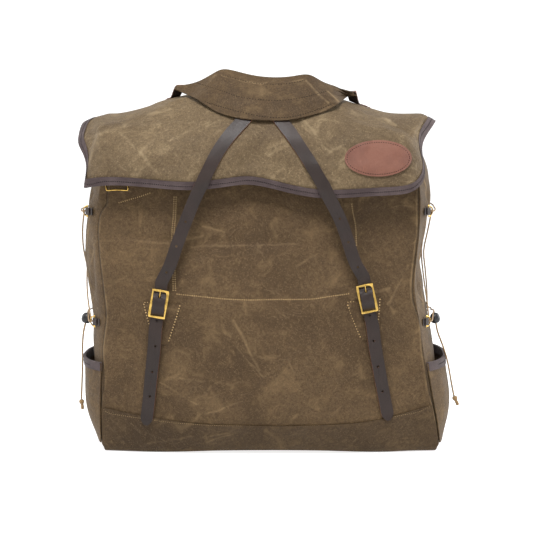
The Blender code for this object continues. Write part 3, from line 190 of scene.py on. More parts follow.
room = bpy.data.worlds.new("studio")
room.use_nodes = True
bpy.context.scene.world = room
room_nodes, room_links = room.node_tree.nodes, room.node_tree.links
room_light = room_nodes["Background"]
room_light.inputs["Color"].default_value = (1.0, 1.0, 1.0, 1.0)
looking = room_nodes.new("ShaderNodeTexCoord")
looking_parts = room_nodes.new("ShaderNodeSeparateXYZ")
dimmer = room_nodes.new("ShaderNodeMapRange")
for socket, value in {
    "From Min": WALL_ENDS, "From Max": CEILING_STARTS, "To Min": WALL_LIGHT, "To Max": CEILING_LIGHT,
}.items():
    dimmer.inputs[socket].default_value = value
room_links.new(looking.outputs["Generated"], looking_parts.inputs[0])
room_links.new(looking_parts.outputs["Z"], dimmer.inputs["Value"])
room_links.new(dimmer.outputs[0], room_light.inputs["Strength"])

for name, (place, width, power) in SOFT_BOXES.items():
    lamp = bpy.data.lights.new(name, "AREA")
    lamp.size = width
    lamp.energy = power
    light = bpy.data.objects.new(name, lamp)
    light.location = place
    light.rotation_euler = (Vector(LIT_PLACE) - Vector(place)).to_track_quat("-Z", "Y").to_euler()
    bpy.context.scene.collection.objects.link(light)

sweep_finish = Finish("white_sweep", {
    "Base Color": (SWEEP_GREY,) * 3, "Roughness": 0.9,
    "Emission Color": (1.0, 1.0, 1.0), "Emission Strength": SWEEP_GLOW,
})
bpy.ops.object.select_all(action="DESELECT")
bpy.ops.mesh.primitive_plane_add(size=2 * SWEEP_HALF)
sweep = bpy.context.object
sweep.name = "white_sweep"
sweep.data.materials.append(sweep_finish.material)
bpy.ops.object.mode_set(mode="EDIT")
bpy.ops.mesh.select_mode(type="EDGE")
bpy.ops.mesh.select_all(action="DESELECT")
bpy.ops.object.mode_set(mode="OBJECT")
for edge in sweep.data.edges:
    edge.select = all(sweep.data.vertices[n].co.y > 0 for n in edge.vertices)
bpy.ops.object.mode_set(mode="EDIT")
bpy.ops.mesh.extrude_region_move(TRANSFORM_OT_translate={"value": (0.0, 0.0, SWEEP_HALF)})
bpy.ops.object.mode_set(mode="OBJECT")
for edge in sweep.data.edges:
    ends = [sweep.data.vertices[n].co for n in edge.vertices]
    edge.select = all(end.y > 0 and abs(end.z) < 0.01 for end in ends)
bpy.ops.object.mode_set(mode="EDIT")
bpy.ops.mesh.bevel(offset=SWEEP_BEND, segments=12, affect="EDGES")
bpy.ops.object.mode_set(mode="OBJECT")
bpy.ops.object.shade_smooth()


# Each side is drawn in by one thin waxed cord, tan and tightly laid, through four brass rings. It
# starts and ends in a ball lock of black plastic, and from there two tails hang to a knot whipped
# with the same cord.
SIDES = {"left": -1, "right": 1}
CORD = 0.0026
RING_POINTS = 8
CORD_APART = 0.62 * CORD
LOCK_RADIUS = 0.009
LOCK_POLE = 1.05 * LOCK_RADIUS
LOCK_GAP = 0.0004
LOCK_PLACES = {"left": (-0.3300, -0.038, 0.2300), "right": (0.2975, -0.038, 0.2300)}
TAIL_STARTS = {"left": (-0.3345, -0.045, 0.2090), "right": (0.3010, -0.046, 0.2090)}
WELD = 1e-5
QUAD_BEND, QUAD_SKEW = math.radians(50), math.radians(70)
SHARP = math.radians(50)
SHADED_SHARP = math.radians(40)
PULLS = 5
PULL_LIMIT = 0.0025


def alone(piece):
    """Selects one piece and nothing else."""
    bpy.ops.object.select_all(action="DESELECT")
    piece.select_set(True)
    bpy.context.view_layer.objects.active = piece


def spots_of(mesh):
    """The places of a mesh's points, one row each."""
    spots = np.empty(len(mesh.vertices) * 3)
    mesh.vertices.foreach_get("co", spots)
    return spots.reshape(-1, 3)


def moved_to(piece, spots):
    piece.data.vertices.foreach_set("co", spots.ravel())
    piece.data.update()


def drawn_through(piece):
    """Moves a piece's corners until the smooth surface passes through where they were."""
    aims = spots_of(piece.data)
    smooth = piece.modifiers.new("smooth", "SUBSURF")
    for _ in range(PULLS):
        made = piece.evaluated_get(bpy.context.evaluated_depsgraph_get()).to_mesh()
        pull = spots_of(piece.data) - spots_of(made)[:len(aims)]
        moved_to(piece, aims + np.clip(pull, -PULL_LIMIT, PULL_LIMIT))
    piece.modifiers.remove(smooth)


def cut_to(name, node, finish, levels, sharp=SHARP):
    """A piece cut to a node's shape: its quads made finer and smooth, its sharp edges kept."""
    piece = bpy.data.objects.new(name, nodes[node].data.copy())
    bpy.context.scene.collection.objects.link(piece)
    piece.data.materials.clear()
    piece.data.materials.append(finish.material)
    alone(piece)
    bpy.ops.mesh.customdata_custom_splitnormals_clear()
    bpy.ops.object.mode_set(mode="EDIT")
    bpy.ops.mesh.select_mode(type="EDGE")
    bpy.ops.mesh.select_all(action="SELECT")
    bpy.ops.mesh.remove_doubles(threshold=WELD)
    bpy.ops.mesh.tris_convert_to_quads(face_threshold=QUAD_BEND, shape_threshold=QUAD_SKEW)
    bpy.ops.mesh.select_all(action="DESELECT")
    bpy.ops.mesh.edges_select_sharp(sharpness=sharp)
    bpy.ops.transform.edge_crease(value=1.0)
    bpy.ops.object.mode_set(mode="OBJECT")
    drawn_through(piece)
    finer = piece.modifiers.new("finer", "SUBSURF")
    finer.levels = finer.render_levels = levels
    alone(piece)
    bpy.ops.object.modifier_apply(modifier=finer.name)
    bpy.ops.object.shade_smooth_by_angle(angle=SHADED_SHARP)
    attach(piece, "root")
    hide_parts(node)
    return piece


def rings_along(node, starts):
    """The rings of points of a tube or a strip, from the end that lies where starts is lowest."""
    bm = bmesh.new()
    bm.from_mesh(nodes[node].data)
    bmesh.ops.remove_doubles(bm, verts=bm.verts[:], dist=WELD)
    bm.verts.index_update()
    ring = sorted(bm.verts, key=lambda v: starts(v.co))[:RING_POINTS]
    seen = set(ring)
    rings = []
    while ring:
        rings.append([v.co.copy() for v in ring])
        ring = sorted({e.other_vert(v) for v in ring for e in v.link_edges} - seen, key=lambda v: v.index)
        seen.update(ring)
    bm.free()
    return rings


def middle(points):
    return sum(points, Vector()) / len(points)


def rounded(points, share=3):
    """A smooth line through points: share steps to each of their spans."""
    points = [Vector(p) for p in points]
    ends = [points[0] * 2 - points[1], *points, points[-1] * 2 - points[-2]]
    line = []
    for a, b, c, d in zip(ends, ends[1:], ends[2:], ends[3:]):
        span = (c - b).length
        leave = (c - a) * span / ((b - a).length + span)
        arrive = (d - b) * span / ((d - c).length + span)
        for n in range(share):
            t = n / share
            rest = 1 - t
            near = b * (1 + 2 * t) * rest**2 + leave * t * rest**2
            far = c * (3 - 2 * t) * t**2 - arrive * rest * t**2
            line.append(near + far)
    return [*line, points[-1]]


def length_of(line):
    return sum((b - a).length for a, b in zip(line, line[1:]))


def laid_cord(name, line, finish):
    """A round cord along a line, as a mesh that keeps the curve's own UV map."""
    curve = bpy.data.curves.new(name, "CURVE")
    curve.dimensions = "3D"
    curve.bevel_depth = CORD / 2
    curve.bevel_resolution = 3
    curve.use_fill_caps = True
    spline = curve.splines.new("POLY")
    spline.points.add(len(line) - 1)
    for target, point in zip(spline.points, line):
        target.co = (*point, 1.0)
    curve.materials.append(finish.material)
    piece = bpy.data.objects.new(name, curve)
    bpy.context.scene.collection.objects.link(piece)
    alone(piece)
    bpy.ops.object.convert(target="MESH")
    bpy.ops.object.shade_smooth()
    return bpy.context.object


def cord_finish():
    """Waxed cord: twisted fibres, soiled in places."""
    finish = Finish("waxed_cord", {"Roughness": 0.62, "Sheen Weight": 0.25})
    place = finish.place()
    fibre = finish.grain(finish.stretched(place, (1.0, 1.0, 3.0)), 900.0, 3.0)
    soiled = finish.step(finish.grain(place, 60.0, 3.0), 0.55, 0.75)
    colour = finish.blend(finish.step(fibre, 0.35, 0.68), (0.14, 0.076, 0.025), (0.34, 0.205, 0.076))
    colour = finish.blend(soiled * 0.4, colour, (0.24, 0.15, 0.06))
    finish.feed({"Base Color": colour, "Normal": finish.relief(fibre, 0.0004)})
    return finish


def plastic_finish():
    """Plain black plastic with the fine grain of its mould."""
    finish = Finish("black_plastic", {"Base Color": (0.012, 0.012, 0.013), "Specular IOR Level": 0.45})
    spark = finish.grain(finish.place(), 500.0, 2.0)
    rough = finish.step(spark, 0.3, 0.7, 0.34, 0.50)
    finish.feed({"Roughness": rough, "Normal": finish.relief(spark, 0.00015)})
    return finish


cord_look = cord_finish()
black_plastic = plastic_finish()
for side in SIDES:
    ball = cut_to(f"lock_{side}", f"cord_lock_{side}", black_plastic, 2)
    knot = nodes[f"lacing_knot_{side}"]
    knot.data.materials.clear()
    knot.data.materials.append(cord_look.material)
    lock = Vector(LOCK_PLACES[side])
    down = (Vector(TAIL_STARTS[side]) - lock).normalized()
    apart = down.cross(Vector((1, 0, 0))).normalized() * CORD_APART
    apart *= 1 if apart.y > 0 else -1
    lacing_end = lock - down * (LOCK_POLE + LOCK_GAP) - apart
    tail_start = lock + down * (LOCK_RADIUS + LOCK_GAP)
    cords = {
        f"side_lacing_{side}": (lacing_end, "object", ball),
        f"lacing_tail_{side}_a": (tail_start + apart, "knot", knot),
        f"lacing_tail_{side}_b": (tail_start - apart, "knot", knot),
    }
    for node, (leaves, ends_in, on_it) in cords.items():
        rings = rings_along(node, lambda p, leaves=leaves: (p - leaves).length)
        line = rounded([middle(ring) for ring in rings])
        piece = laid_cord(f"cord_{node}", line, cord_look)
        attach(piece, "root")
        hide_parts(node)
        round(length_of(line), 3)
        "taut" if ends_in == "object" else "hanging"


# The bag is sewn from heavy waxed cotton duck: a wide front between two seams, full side panels
# and a flat back. The wax leaves it blotched, with pale rubbed creases wherever it has been folded.
PICTURE = 533
SENSOR = 36.0
BAG_CLOTH = ((0.054, 0.0315, 0.0140), (0.096, 0.0590, 0.0275), (0.245, 0.165, 0.084))
THREAD_PITCH = 0.0022
STITCH = (0.0019, 0.0030, 0.0010)
STITCH_PITCH = 0.0038
THREAD_TAN = (0.42, 0.29, 0.14)
# Folds pressed into the cloth, in the plane of the front or the sides: two ends, width and depth
FRONT_CREASES = (
    (-0.290, 0.3885, -0.172, 0.3805, 0.0060, 0.0016),
    (-0.172, 0.3805, 0.060, 0.3760, 0.0065, 0.0014),
    (0.110, 0.4300, 0.155, 0.3400, 0.0100, 0.0015),
    (-0.150, 0.1900, -0.030, 0.1150, 0.0140, 0.0018),
    (0.020, 0.2300, 0.120, 0.1450, 0.0160, 0.0015),
    (0.220, 0.2600, 0.262, 0.3900, 0.0120, 0.0020),
    (-0.255, 0.2400, -0.235, 0.3600, 0.0120, 0.0014),
    (-0.060, 0.3400, 0.060, 0.3000, 0.0180, 0.0016),
)
SIDE_CREASES = (
    (-0.055, 0.450, -0.010, 0.350, 0.0130, 0.0090),
    (-0.006, 0.335, -0.040, 0.225, 0.0140, 0.0080),
    (0.055, 0.445, 0.012, 0.350, 0.0140, 0.0090),
    (0.016, 0.330, 0.058, 0.225, 0.0130, 0.0080),
    (-0.072, 0.427, -0.030, 0.345, 0.0070, -0.0028),
    (-0.030, 0.345, -0.066, 0.240, 0.0070, -0.0028),
    (0.080, 0.427, 0.035, 0.340, 0.0070, -0.0028),
    (0.035, 0.340, 0.082, 0.240, 0.0070, -0.0028),
    (-0.084, 0.360, -0.070, 0.290, 0.0100, 0.0050),
    (0.088, 0.370, 0.074, 0.300, 0.0100, 0.0050),
    (-0.020, 0.500, 0.020, 0.440, 0.0140, 0.0060),
)
# Where the front, back and side cloth begins to give, and where each is held at its foot or top
FRONT_FROM, FRONT_FOOT = (0.070, 0.100), (0.010, 0.040)
BACK_FROM, BACK_FOOT = (0.095, 0.112), (0.010, 0.060)
SIDE_FROM, SIDE_FOOT, SIDE_TOP = (0.235, 0.262), (0.170, 0.240), (0.46, 0.52)
SIDE_LINES_FROM = (0.245, 0.262)
# Soft hollows of the cloth: depth, how many to the metre, and the place in the noise
FRONT_HOLLOWS, BACK_HOLLOWS, SIDE_HOLLOWS = (0.0022, 11.0, 3.0), (0.0030, 9.0, 9.0), (0.0045, 14.0, 7.0)
SEWN_REACH = (0.004, 0.030)
SEWN_TO_BAG = (
    *(f"ring_tab_{way}_{height}_{side}" for way in ("front", "rear") for height in ("upper", "lower")
      for side in SIDES),
    *(f"{sewn}_{side}" for sewn in ("vee_patch", "shoulder_anchor", "shoulder_strap", "side_pocket")
      for side in SIDES),
    "lid_loop_tab",
)
# What the camera sees, in places of its picture: the front seams, the stitching, and rubbed lines
FRONT_SEAMS = {
    "left": (
        (107, 203), (100, 215), (98, 232), (99, 250), (101, 270), (104, 295), (106, 318), (104, 335),
        (102.5, 351), (103.8, 383), (100.6, 410), (102, 428), (101, 447),
    ),
    "right": (
        (418.6, 199), (418.6, 231), (416.7, 246), (414.8, 263), (412.9, 282), (413.5, 301), (419.2, 320),
        (421, 332), (423, 351), (426, 370), (429.4, 392), (433.3, 408), (437, 428), (440.5, 444),
    ),
}
FRONT_STITCHING = (
    ((174.2, 196), (173.4, 215), (171.8, 237), (172.6, 265), (173.2, 292)),
    ((176.4, 196), (175.6, 215), (174.0, 237), (174.8, 265), (175.4, 292)),
    (
        (176, 294), (200, 296.5), (225, 299), (250, 300), (270, 299.6), (312, 299), (327, 296.9),
        (350, 293.6),
    ),
    ((351.6, 203), (353.2, 214), (355.5, 225), (356.6, 246)),
    ((118, 203), (128, 200), (140, 196.5), (150, 193)),
)
FRONT_RUBS = (
    (96, 234.5, 153, 238, 0.0037), (153, 238, 178, 241, 0.0031), (178, 241, 236, 242, 0.0034),
    (236, 242, 300, 240, 0.0024), (183, 236, 206, 231, 0.0044), (163, 379, 200, 401, 0.0027),
    (237, 317, 250, 340, 0.0044), (250, 340, 263, 366, 0.0034), (240, 344, 268, 374, 0.0024),
    (330, 377, 361, 370, 0.0034), (184, 374, 209, 378, 0.0041), (366, 292, 392, 285, 0.0051),
    (300, 262, 322, 250, 0.0031), (206, 222, 228, 228, 0.0031), (112, 281, 130, 272, 0.0034),
    (216, 408, 243, 398, 0.0031), (290, 352, 300, 370, 0.0031), (392, 300, 412, 262, 0.0034),
    (143, 442, 176, 434, 0.0037), (165, 437, 195, 433, 0.0037), (215, 432, 232, 429, 0.0031),
)
# The sides' pale lines along their ridges, rubbed wax and painted highlight, in their own plane: two ends
# and a width
SIDE_RUBS_AND_HIGHLIGHTS = (
    (-0.072, 0.427, -0.030, 0.345, 0.0050), (-0.030, 0.345, -0.066, 0.240, 0.0046),
    (0.080, 0.427, 0.035, 0.340, 0.0050), (0.035, 0.340, 0.082, 0.240, 0.0046),
    (-0.088, 0.385, -0.052, 0.325, 0.0036), (-0.030, 0.345, 0.035, 0.340, 0.0040),
    (0.000, 0.310, 0.036, 0.245, 0.0040), (-0.080, 0.300, -0.048, 0.262, 0.0034),
    (-0.020, 0.440, 0.006, 0.372, 0.0040), (0.060, 0.385, 0.088, 0.350, 0.0034),
    (-0.074, 0.500, -0.040, 0.455, 0.0044), (0.030, 0.505, 0.058, 0.450, 0.0040),
)
# Pale strokes and fine cracks in the wax: the size of each kind, and its slant
WAX_STROKES = (
    ((0.0060, 0.01, 0.021), 0.9), ((0.0050, 0.01, 0.016), -0.8), ((0.0066, 0.01, 0.028), 1.5),
)
WAX_CRACKS = (((0.075, 0.05, 0.16), 0.75), ((0.070, 0.05, 0.13), -0.95))


def cloth_map(piece):
    """A UV map in metres along the cloth, for the weave."""
    for layer in list(piece.data.uv_layers):
        piece.data.uv_layers.remove(layer)
    piece.data.uv_layers.new(name="cloth")
    alone(piece)
    bpy.ops.object.mode_set(mode="EDIT")
    bpy.ops.mesh.select_all(action="SELECT")
    bpy.ops.uv.cube_project(cube_size=1.0)
    bpy.ops.object.mode_set(mode="OBJECT")


def between(values, low, high):
    """0 below low and 1 above high, smoothly."""
    share = np.clip((values - low) / (high - low), 0, 1)
    return share * share * (3 - 2 * share)


def creased(spots, rows):
    """How deep the creases are at spots on a plane."""
    total = np.zeros(len(spots))
    for x0, z0, x1, z1, width, depth in rows:
        start, run = np.array([x0, z0]), np.array([x1 - x0, z1 - z0])
        share = np.clip((spots - start) @ run / (run @ run), 0, 1)
        apart = np.linalg.norm(spots - start - share[:, None] * run, axis=1)
        total += depth * np.exp(-((apart / width) ** 2))
    return total


def hollowed(spots, depth, scale, seed):
    """How deep the soft hollows are at spots: smooth noise between 0 and the depth."""
    shift = Vector((seed, 0, 0))
    return depth * np.array([0.5 + 0.5 * noise.noise(Vector(p) * scale + shift) for p in spots])


def freedom(spots, names, reach):
    """From 0 next to the named nodes to 1 where they are further than the reach."""
    graph = bpy.context.evaluated_depsgraph_get()
    trees = [BVHTree.FromObject(nodes[name], graph) for name in names]
    gaps = []
    for spot in spots:
        found = [tree.find_nearest(Vector(spot), reach[1])[3] for tree in trees]
        gaps.append(min([gap for gap in found if gap is not None], default=reach[1]))
    return between(np.array(gaps), *reach)


def bag_give(spots):
    """How the bag's cloth gives inwards: creases and soft hollows, but not where something is sewn."""
    x, y, z = spots.T
    front = between(-y, *FRONT_FROM) * between(z, *FRONT_FOOT)
    back = between(y, *BACK_FROM) * between(z, *BACK_FOOT)
    side = between(np.abs(x), *SIDE_FROM) * (1 - front) * (1 - back)
    side *= between(z, *SIDE_FOOT) * (1 - between(z, *SIDE_TOP))
    front_depth = creased(spots[:, [0, 2]], FRONT_CREASES) + hollowed(spots, *FRONT_HOLLOWS)
    side_depth = creased(spots[:, [1, 2]], SIDE_CREASES) + hollowed(spots, *SIDE_HOLLOWS)
    free = freedom(spots, SEWN_TO_BAG, SEWN_REACH)
    move = np.zeros_like(spots)
    move[:, 1] = (front_depth * front - hollowed(spots, *BACK_HOLLOWS) * back) * free
    move[:, 0] = -np.sign(x) * side_depth * side * free
    return move


def pressed(piece, give):
    """Moves each point of a cloth piece as far as give says."""
    spots = spots_of(piece.data)
    moved_to(piece, spots + give(spots))


def sight(px, py):
    """The camera's line of sight through a place in its picture: where it starts, and its way."""
    reach = SENSOR / CAMERA_LENS / PICTURE
    across, up = (px - PICTURE / 2) * reach, (PICTURE / 2 - py) * reach
    down, level = math.sin(CAMERA_DOWN), math.cos(CAMERA_DOWN)
    return Vector(CAMERA_PLACE), Vector((across, level + up * down, up * level - down)).normalized()


def tree_of(piece):
    return BVHTree.FromObject(piece, bpy.context.evaluated_depsgraph_get())


def seam_on(pieces, marks, share=10):
    """Places and normals along a seam on the first of some pieces that the camera sees there."""
    trees = [tree_of(piece) for piece in pieces]
    seam = []
    for mark in rounded([(*m, 0.0) for m in marks], share):
        hits = [tree.ray_cast(*sight(mark.x, mark.y)) for tree in trees]
        hits = [hit for hit in hits if hit[0] is not None]
        if hits:
            seam.append(min(hits, key=lambda hit: hit[3])[:2])
    return seam


def stitched(name, seams, finish, size=STITCH, pitch=STITCH_PITCH):
    """Stitches along seams, rows of places and normals: one is modelled, the others are its copies."""
    bpy.ops.object.select_all(action="DESELECT")
    bpy.ops.mesh.primitive_ico_sphere_add(subdivisions=1, radius=0.5)
    one = bpy.context.object
    shape = spots_of(one.data) * size
    facets = [tuple(face.vertices) for face in one.data.polygons]
    bpy.data.objects.remove(one)
    spots, faces = [], []
    for seam in seams:
        due = pitch / 2
        for (here, normal), (there, _) in zip(seam, seam[1:]):
            run = there - here
            while 0 < run.length and due <= run.length:
                along = run.normalized()
                up = (normal - along * normal.dot(along)).normalized()
                turn = np.array([along, up.cross(along), up])
                faces.extend(tuple(n + len(spots) * len(shape) for n in facet) for facet in facets)
                spots.append(shape @ turn + np.array(here + along * due))
                due += pitch
            due -= run.length
    mesh = bpy.data.meshes.new(name)
    mesh.from_pydata(np.concatenate(spots).tolist(), [], faces)
    mesh.materials.append(finish.material)
    piece = bpy.data.objects.new(name, mesh)
    bpy.context.scene.collection.objects.link(piece)
    alone(piece)
    bpy.ops.object.shade_smooth()
    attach(piece, "root")
    return piece


def thread_finish(name, colour):
    """Sewing thread of one colour, darker and lighter by its fibres."""
    finish = Finish(name, {"Roughness": 0.75, "Specular IOR Level": 0.12})
    fibre = finish.grain(finish.place(), 900.0, 2.0)
    shades = [tuple(part * share for part in colour) for share in (0.62, 1.25)]
    finish.feed({
        "Base Color": finish.blend(finish.step(fibre, 0.3, 0.7), *shades),
        "Normal": finish.relief(fibre, 0.0002),
    })
    return finish


def wax_strokes(finish, place, blotch):
    """Short pale strokes where the wax is scuffed, each kind in its own places."""
    worn = finish.grain(place, 5.5, 2.0)
    strokes = [
        finish.step(finish.grain(finish.stretched(place, size, turn), 1.0, 4.0, 0.6, 0.7), 0.54, 0.88)
        for size, turn in WAX_STROKES
    ]
    scuff = strokes[0] * finish.step(worn, 0.38, 0.58) + strokes[1] * finish.step(worn, 0.60, 0.42)
    return scuff + strokes[2] * finish.step(blotch, 0.45, 0.62) * 0.8


def wax_cracks(finish, place, cloud):
    """Fine lines where the wax has cracked, where two slanted patterns cross their middle value."""
    runs = [
        finish.grain(finish.stretched(place, size, turn), 1.0, 3.0, 0.55, 0.8) for size, turn in WAX_CRACKS
    ]
    crack = finish.step((runs[0] - 0.5).absolute(), 0.012, 0.0) * finish.step(cloud, 0.46, 0.60)
    return crack + finish.step((runs[1] - 0.52).absolute(), 0.010, 0.0) * finish.step(cloud, 0.55, 0.42)


def rubbed_lines_and_highlights(finish, place, front_lines, side_lines):
    """Wavering lines where folds are rubbed: on the front by its plane, and on the sides by theirs, where
    the pale lines on the ridges are rubbed wax and painted highlight.
    """
    wobble = finish.node("ShaderNodeTexNoise", {}, {"Vector": place, "Scale": 22.0, "Detail": 3.0}, 1)
    wobble = finish.vector("SCALE", {0: wobble, "Scale": 0.014})
    bent = finish.vector("ADD", {0: place, 1: wobble})
    ahead = finish.vector("MULTIPLY", {0: bent, 1: (1.0, 0.0, 1.0)})
    drawn = 0.0
    for start, end, width in front_lines:
        drawn = finish.streak(ahead, start, end, width) + drawn
    drawn = drawn * finish.step(finish.part(place, 1), 0.02, -0.02)
    if side_lines:
        # The sides' pale lines lie on their ridges: rubbed wax and painted highlight.
        sideways = finish.vector("MULTIPLY", {0: bent, 1: (0.0, 1.0, 1.0)})
        folds = 0.0
        for y0, z0, y1, z1, width in side_lines:
            start, end = Vector((0.0, y0, z0)), Vector((0.0, y1, z1))
            folds = finish.streak(sideways, start, end, width) + folds
        off_middle = finish.part(place, 0).absolute()
        drawn = drawn + folds * finish.step(off_middle, *SIDE_LINES_FROM) * 1.7
    return drawn


def canvas_finish(name, dark, light, rub, creases=(), seamed=False, worn_lines=0.36):
    """Waxed cotton duck: blotched by the wax, rubbed pale in strokes and along creases, plain woven. Where
    seamed, a painted shade darkens the front seams' groove, their ridge gets a pale line of rubbed wax and
    painted highlight, and the sides' ridges get pale lines of rubbed wax and painted highlight.
    """
    finish = Finish(name, {
        "Sheen Weight": 0.05, "Sheen Roughness": 0.5, "Sheen Tint": (0.85, 0.70, 0.50),
        "Specular IOR Level": 0.18,
    })
    place = finish.place()
    blotch = finish.grain(place, 7.0, 4.0, 0.6, 0.5)
    cloud = finish.grain(place, 24.0, 5.0, 0.62, 0.8)
    mottle = finish.grain(place, 230.0, 3.0, 0.75)
    nap = finish.grain(place, 560.0, 2.0)
    scuff = wax_strokes(finish, place, blotch)
    crack = wax_cracks(finish, place, cloud)
    colour = finish.blend(finish.step(blotch, 0.32, 0.68), dark, light)
    for share, shade in (
        (finish.step(mottle, 0.36, 0.66) * 0.62, tuple(part * 0.70 for part in dark)),
        (finish.step(nap, 0.54, 0.74) * 0.34, rub),
        (finish.step(cloud, 0.50, 0.82) * 0.46, rub),
        (scuff * 0.42, rub),
        (crack * 0.14, rub),
    ):
        colour = finish.blend(share, colour, shade)
    raised = crack * 0.5
    if creases:
        drawn = rubbed_lines_and_highlights(finish, place, creases, SIDE_RUBS_AND_HIGHLIGHTS if seamed else ())
        drawn = drawn * finish.step(cloud, 0.36, 0.64)
        colour = finish.blend(drawn * worn_lines, colour, rub)
        raised = raised + drawn
    if seamed:
        # The front seams: a painted shade darkens their groove, and the pale line on their ridge is rubbed
        # wax and painted highlight.
        gap = finish.written("front_seam")
        seam_groove_painted_shade = finish.step(gap.absolute(), 0.0016, 0.0003)
        seam_ridge_rub_and_highlight = finish.step((gap + 0.0034).absolute(), 0.0030, 0.0)
        colour = finish.blend(seam_ridge_rub_and_highlight * finish.step(cloud, 0.35, 0.60) * 0.45, colour, rub)
        colour = finish.blend(seam_groove_painted_shade * 0.5, colour, tuple(part * 0.4 for part in dark))
        raised = raised + seam_ridge_rub_and_highlight * 1.5 - seam_groove_painted_shade * 3.0
    woven = finish.cloth_place()
    warp, weft = [(finish.part(woven, axis) * (2 * math.pi / THREAD_PITCH)).sine() for axis in (0, 1)]
    normal = finish.relief(warp * weft, 0.00012)
    raised = raised + scuff * 0.4
    for height, depth in ((nap, 0.00018), (mottle, 0.0006), (raised, 0.0006), (cloud, 0.0022)):
        normal = finish.relief(height, depth, normal)
    rough = finish.step(cloud, 0.35, 0.70, 0.62, 0.78)
    finish.feed({"Base Color": colour, "Roughness": rough, "Normal": normal})
    return finish


def rubs_on(piece, rows):
    """The ends of rubbed lines on a piece, in the front's plane, from where the camera sees them."""
    tree = tree_of(piece)
    lines = []
    for x0, y0, x1, y1, width in rows:
        ends = [tree.ray_cast(*sight(*mark))[0] for mark in ((x0, y0), (x1, y1))]
        if all(ends):
            lines.append((*[Vector((end.x, 0.0, end.z)) for end in ends], width))
    return lines


def front_seam_gap(piece, seams):
    """Writes how far each point of a piece lies on the outer side of the nearer front seam, for the
    painted shade and painted highlight along the seams.
    """
    spots = spots_of(piece.data)
    gaps = np.full(len(spots), -1.0)
    for side, seam in seams.items():
        line = np.array([place for place, _ in seam])[::-1]
        off_x = (spots[:, 0] - np.interp(spots[:, 2], line[:, 2], line[:, 0])) * SIDES[side]
        off_y = spots[:, 1] - np.interp(spots[:, 2], line[:, 2], line[:, 1])
        gap = np.hypot(off_x, off_y) * np.where(off_x + off_y < 0, -1, 1)
        gaps = np.where(spots[:, 0] * SIDES[side] > 0, gap, gaps)
    written = piece.data.attributes.new("front_seam", "FLOAT", "POINT")
    written.data.foreach_set("value", gaps)


plain_canvas = canvas_finish("waxed_canvas", *BAG_CLOTH)
bag = cut_to("bag", "body_shell", plain_canvas, 3)
pressed(bag, bag_give)
front_seams = {side: seam_on([bag], marks) for side, marks in FRONT_SEAMS.items()}
front_seam_gap(bag, front_seams)
cloth_map(bag)
# The front's finish carries the painted shade and painted highlight of the seams and of the sides' ridges.
front_canvas = canvas_finish("front_canvas", *BAG_CLOTH, creases=rubs_on(bag, FRONT_RUBS), seamed=True)
bag.data.materials[0] = front_canvas.material
tan_thread = thread_finish("tan_thread", THREAD_TAN)
stitched("stitches_front", [seam_on([bag], marks) for marks in FRONT_STITCHING], tan_thread)


# The foot is covered with a second layer of the same duck. Its curved top edge is turned in and
# topstitched to the front, and it runs on under the base and up the foot of the back.
BOOT_CLOTH = ((0.041, 0.0240, 0.0108), (0.066, 0.0410, 0.0200), (0.175, 0.1180, 0.0600))
BOOT_SHARP = math.radians(25)
BOOT_THREAD = (0.24, 0.165, 0.085)
BOOT_STITCH = (0.0022, 0.0012, 0.0009)
BOOT_STITCHING = (
    (103, 409.1), (108, 412.7), (127, 416.3), (149, 419.5), (167, 422.1), (185, 423.7), (210, 425.3),
    (249, 425.9), (270, 425.5), (308, 425.9), (346.5, 423.3), (378, 419.5), (404, 415), (420.5, 411.2),
    (433, 404.9),
)
boot = cut_to("boot", "base_boot", plain_canvas, 3, BOOT_SHARP)
pressed(boot, bag_give)
front_seam_gap(boot, front_seams)
cloth_map(boot)
# The boot's finish also carries the painted shade and painted highlight of the seams and of the sides'
# ridges.
boot_canvas = canvas_finish("boot_canvas", *BOOT_CLOTH, creases=rubs_on(boot, FRONT_RUBS), seamed=True)
boot.data.materials[0] = boot_canvas.material
boot_thread = thread_finish("boot_thread", BOOT_THREAD)
stitched("stitches_boot", [seam_on([boot], BOOT_STITCHING)], boot_thread, BOOT_STITCH)


# A full patch pocket of the same duck is sewn to each side, open at the top. The open edge is bound
# with dark tape, folded over it and stitched through.
TAPE_STITCH = (0.0028, 0.0019, 0.0011)
TAPE_PROUD = 0.008
DARK_THREAD = (0.009, 0.007, 0.007)
POCKET_OUT, POCKET_TOP = 0.2, 0.16


def tape_finish():
    """Matt twill tape, faded in places."""
    finish = Finish("binding_tape", {
        "Sheen Weight": 0.06, "Sheen Roughness": 0.5, "Roughness": 0.8, "Specular IOR Level": 0.2,
    })
    place = finish.place()
    fade = finish.grain(place, 30.0, 3.0)
    yarn = finish.grain(place, 650.0, 2.0)
    colour = finish.blend(finish.step(fade, 0.35, 0.70), (0.049, 0.034, 0.034), (0.080, 0.058, 0.057))
    colour = finish.blend(finish.step(yarn, 0.35, 0.65) * 0.35, colour, (0.030, 0.021, 0.021))
    settings = {"bands_direction": "DIAGONAL"}
    twill = finish.node("ShaderNodeTexWave", settings, {"Vector": place, "Scale": 260.0})
    normal = finish.relief(yarn, 0.0003, finish.relief(twill, 0.00015))
    finish.feed({"Base Color": colour, "Normal": finish.relief(fade, 0.0008, normal)})
    return finish


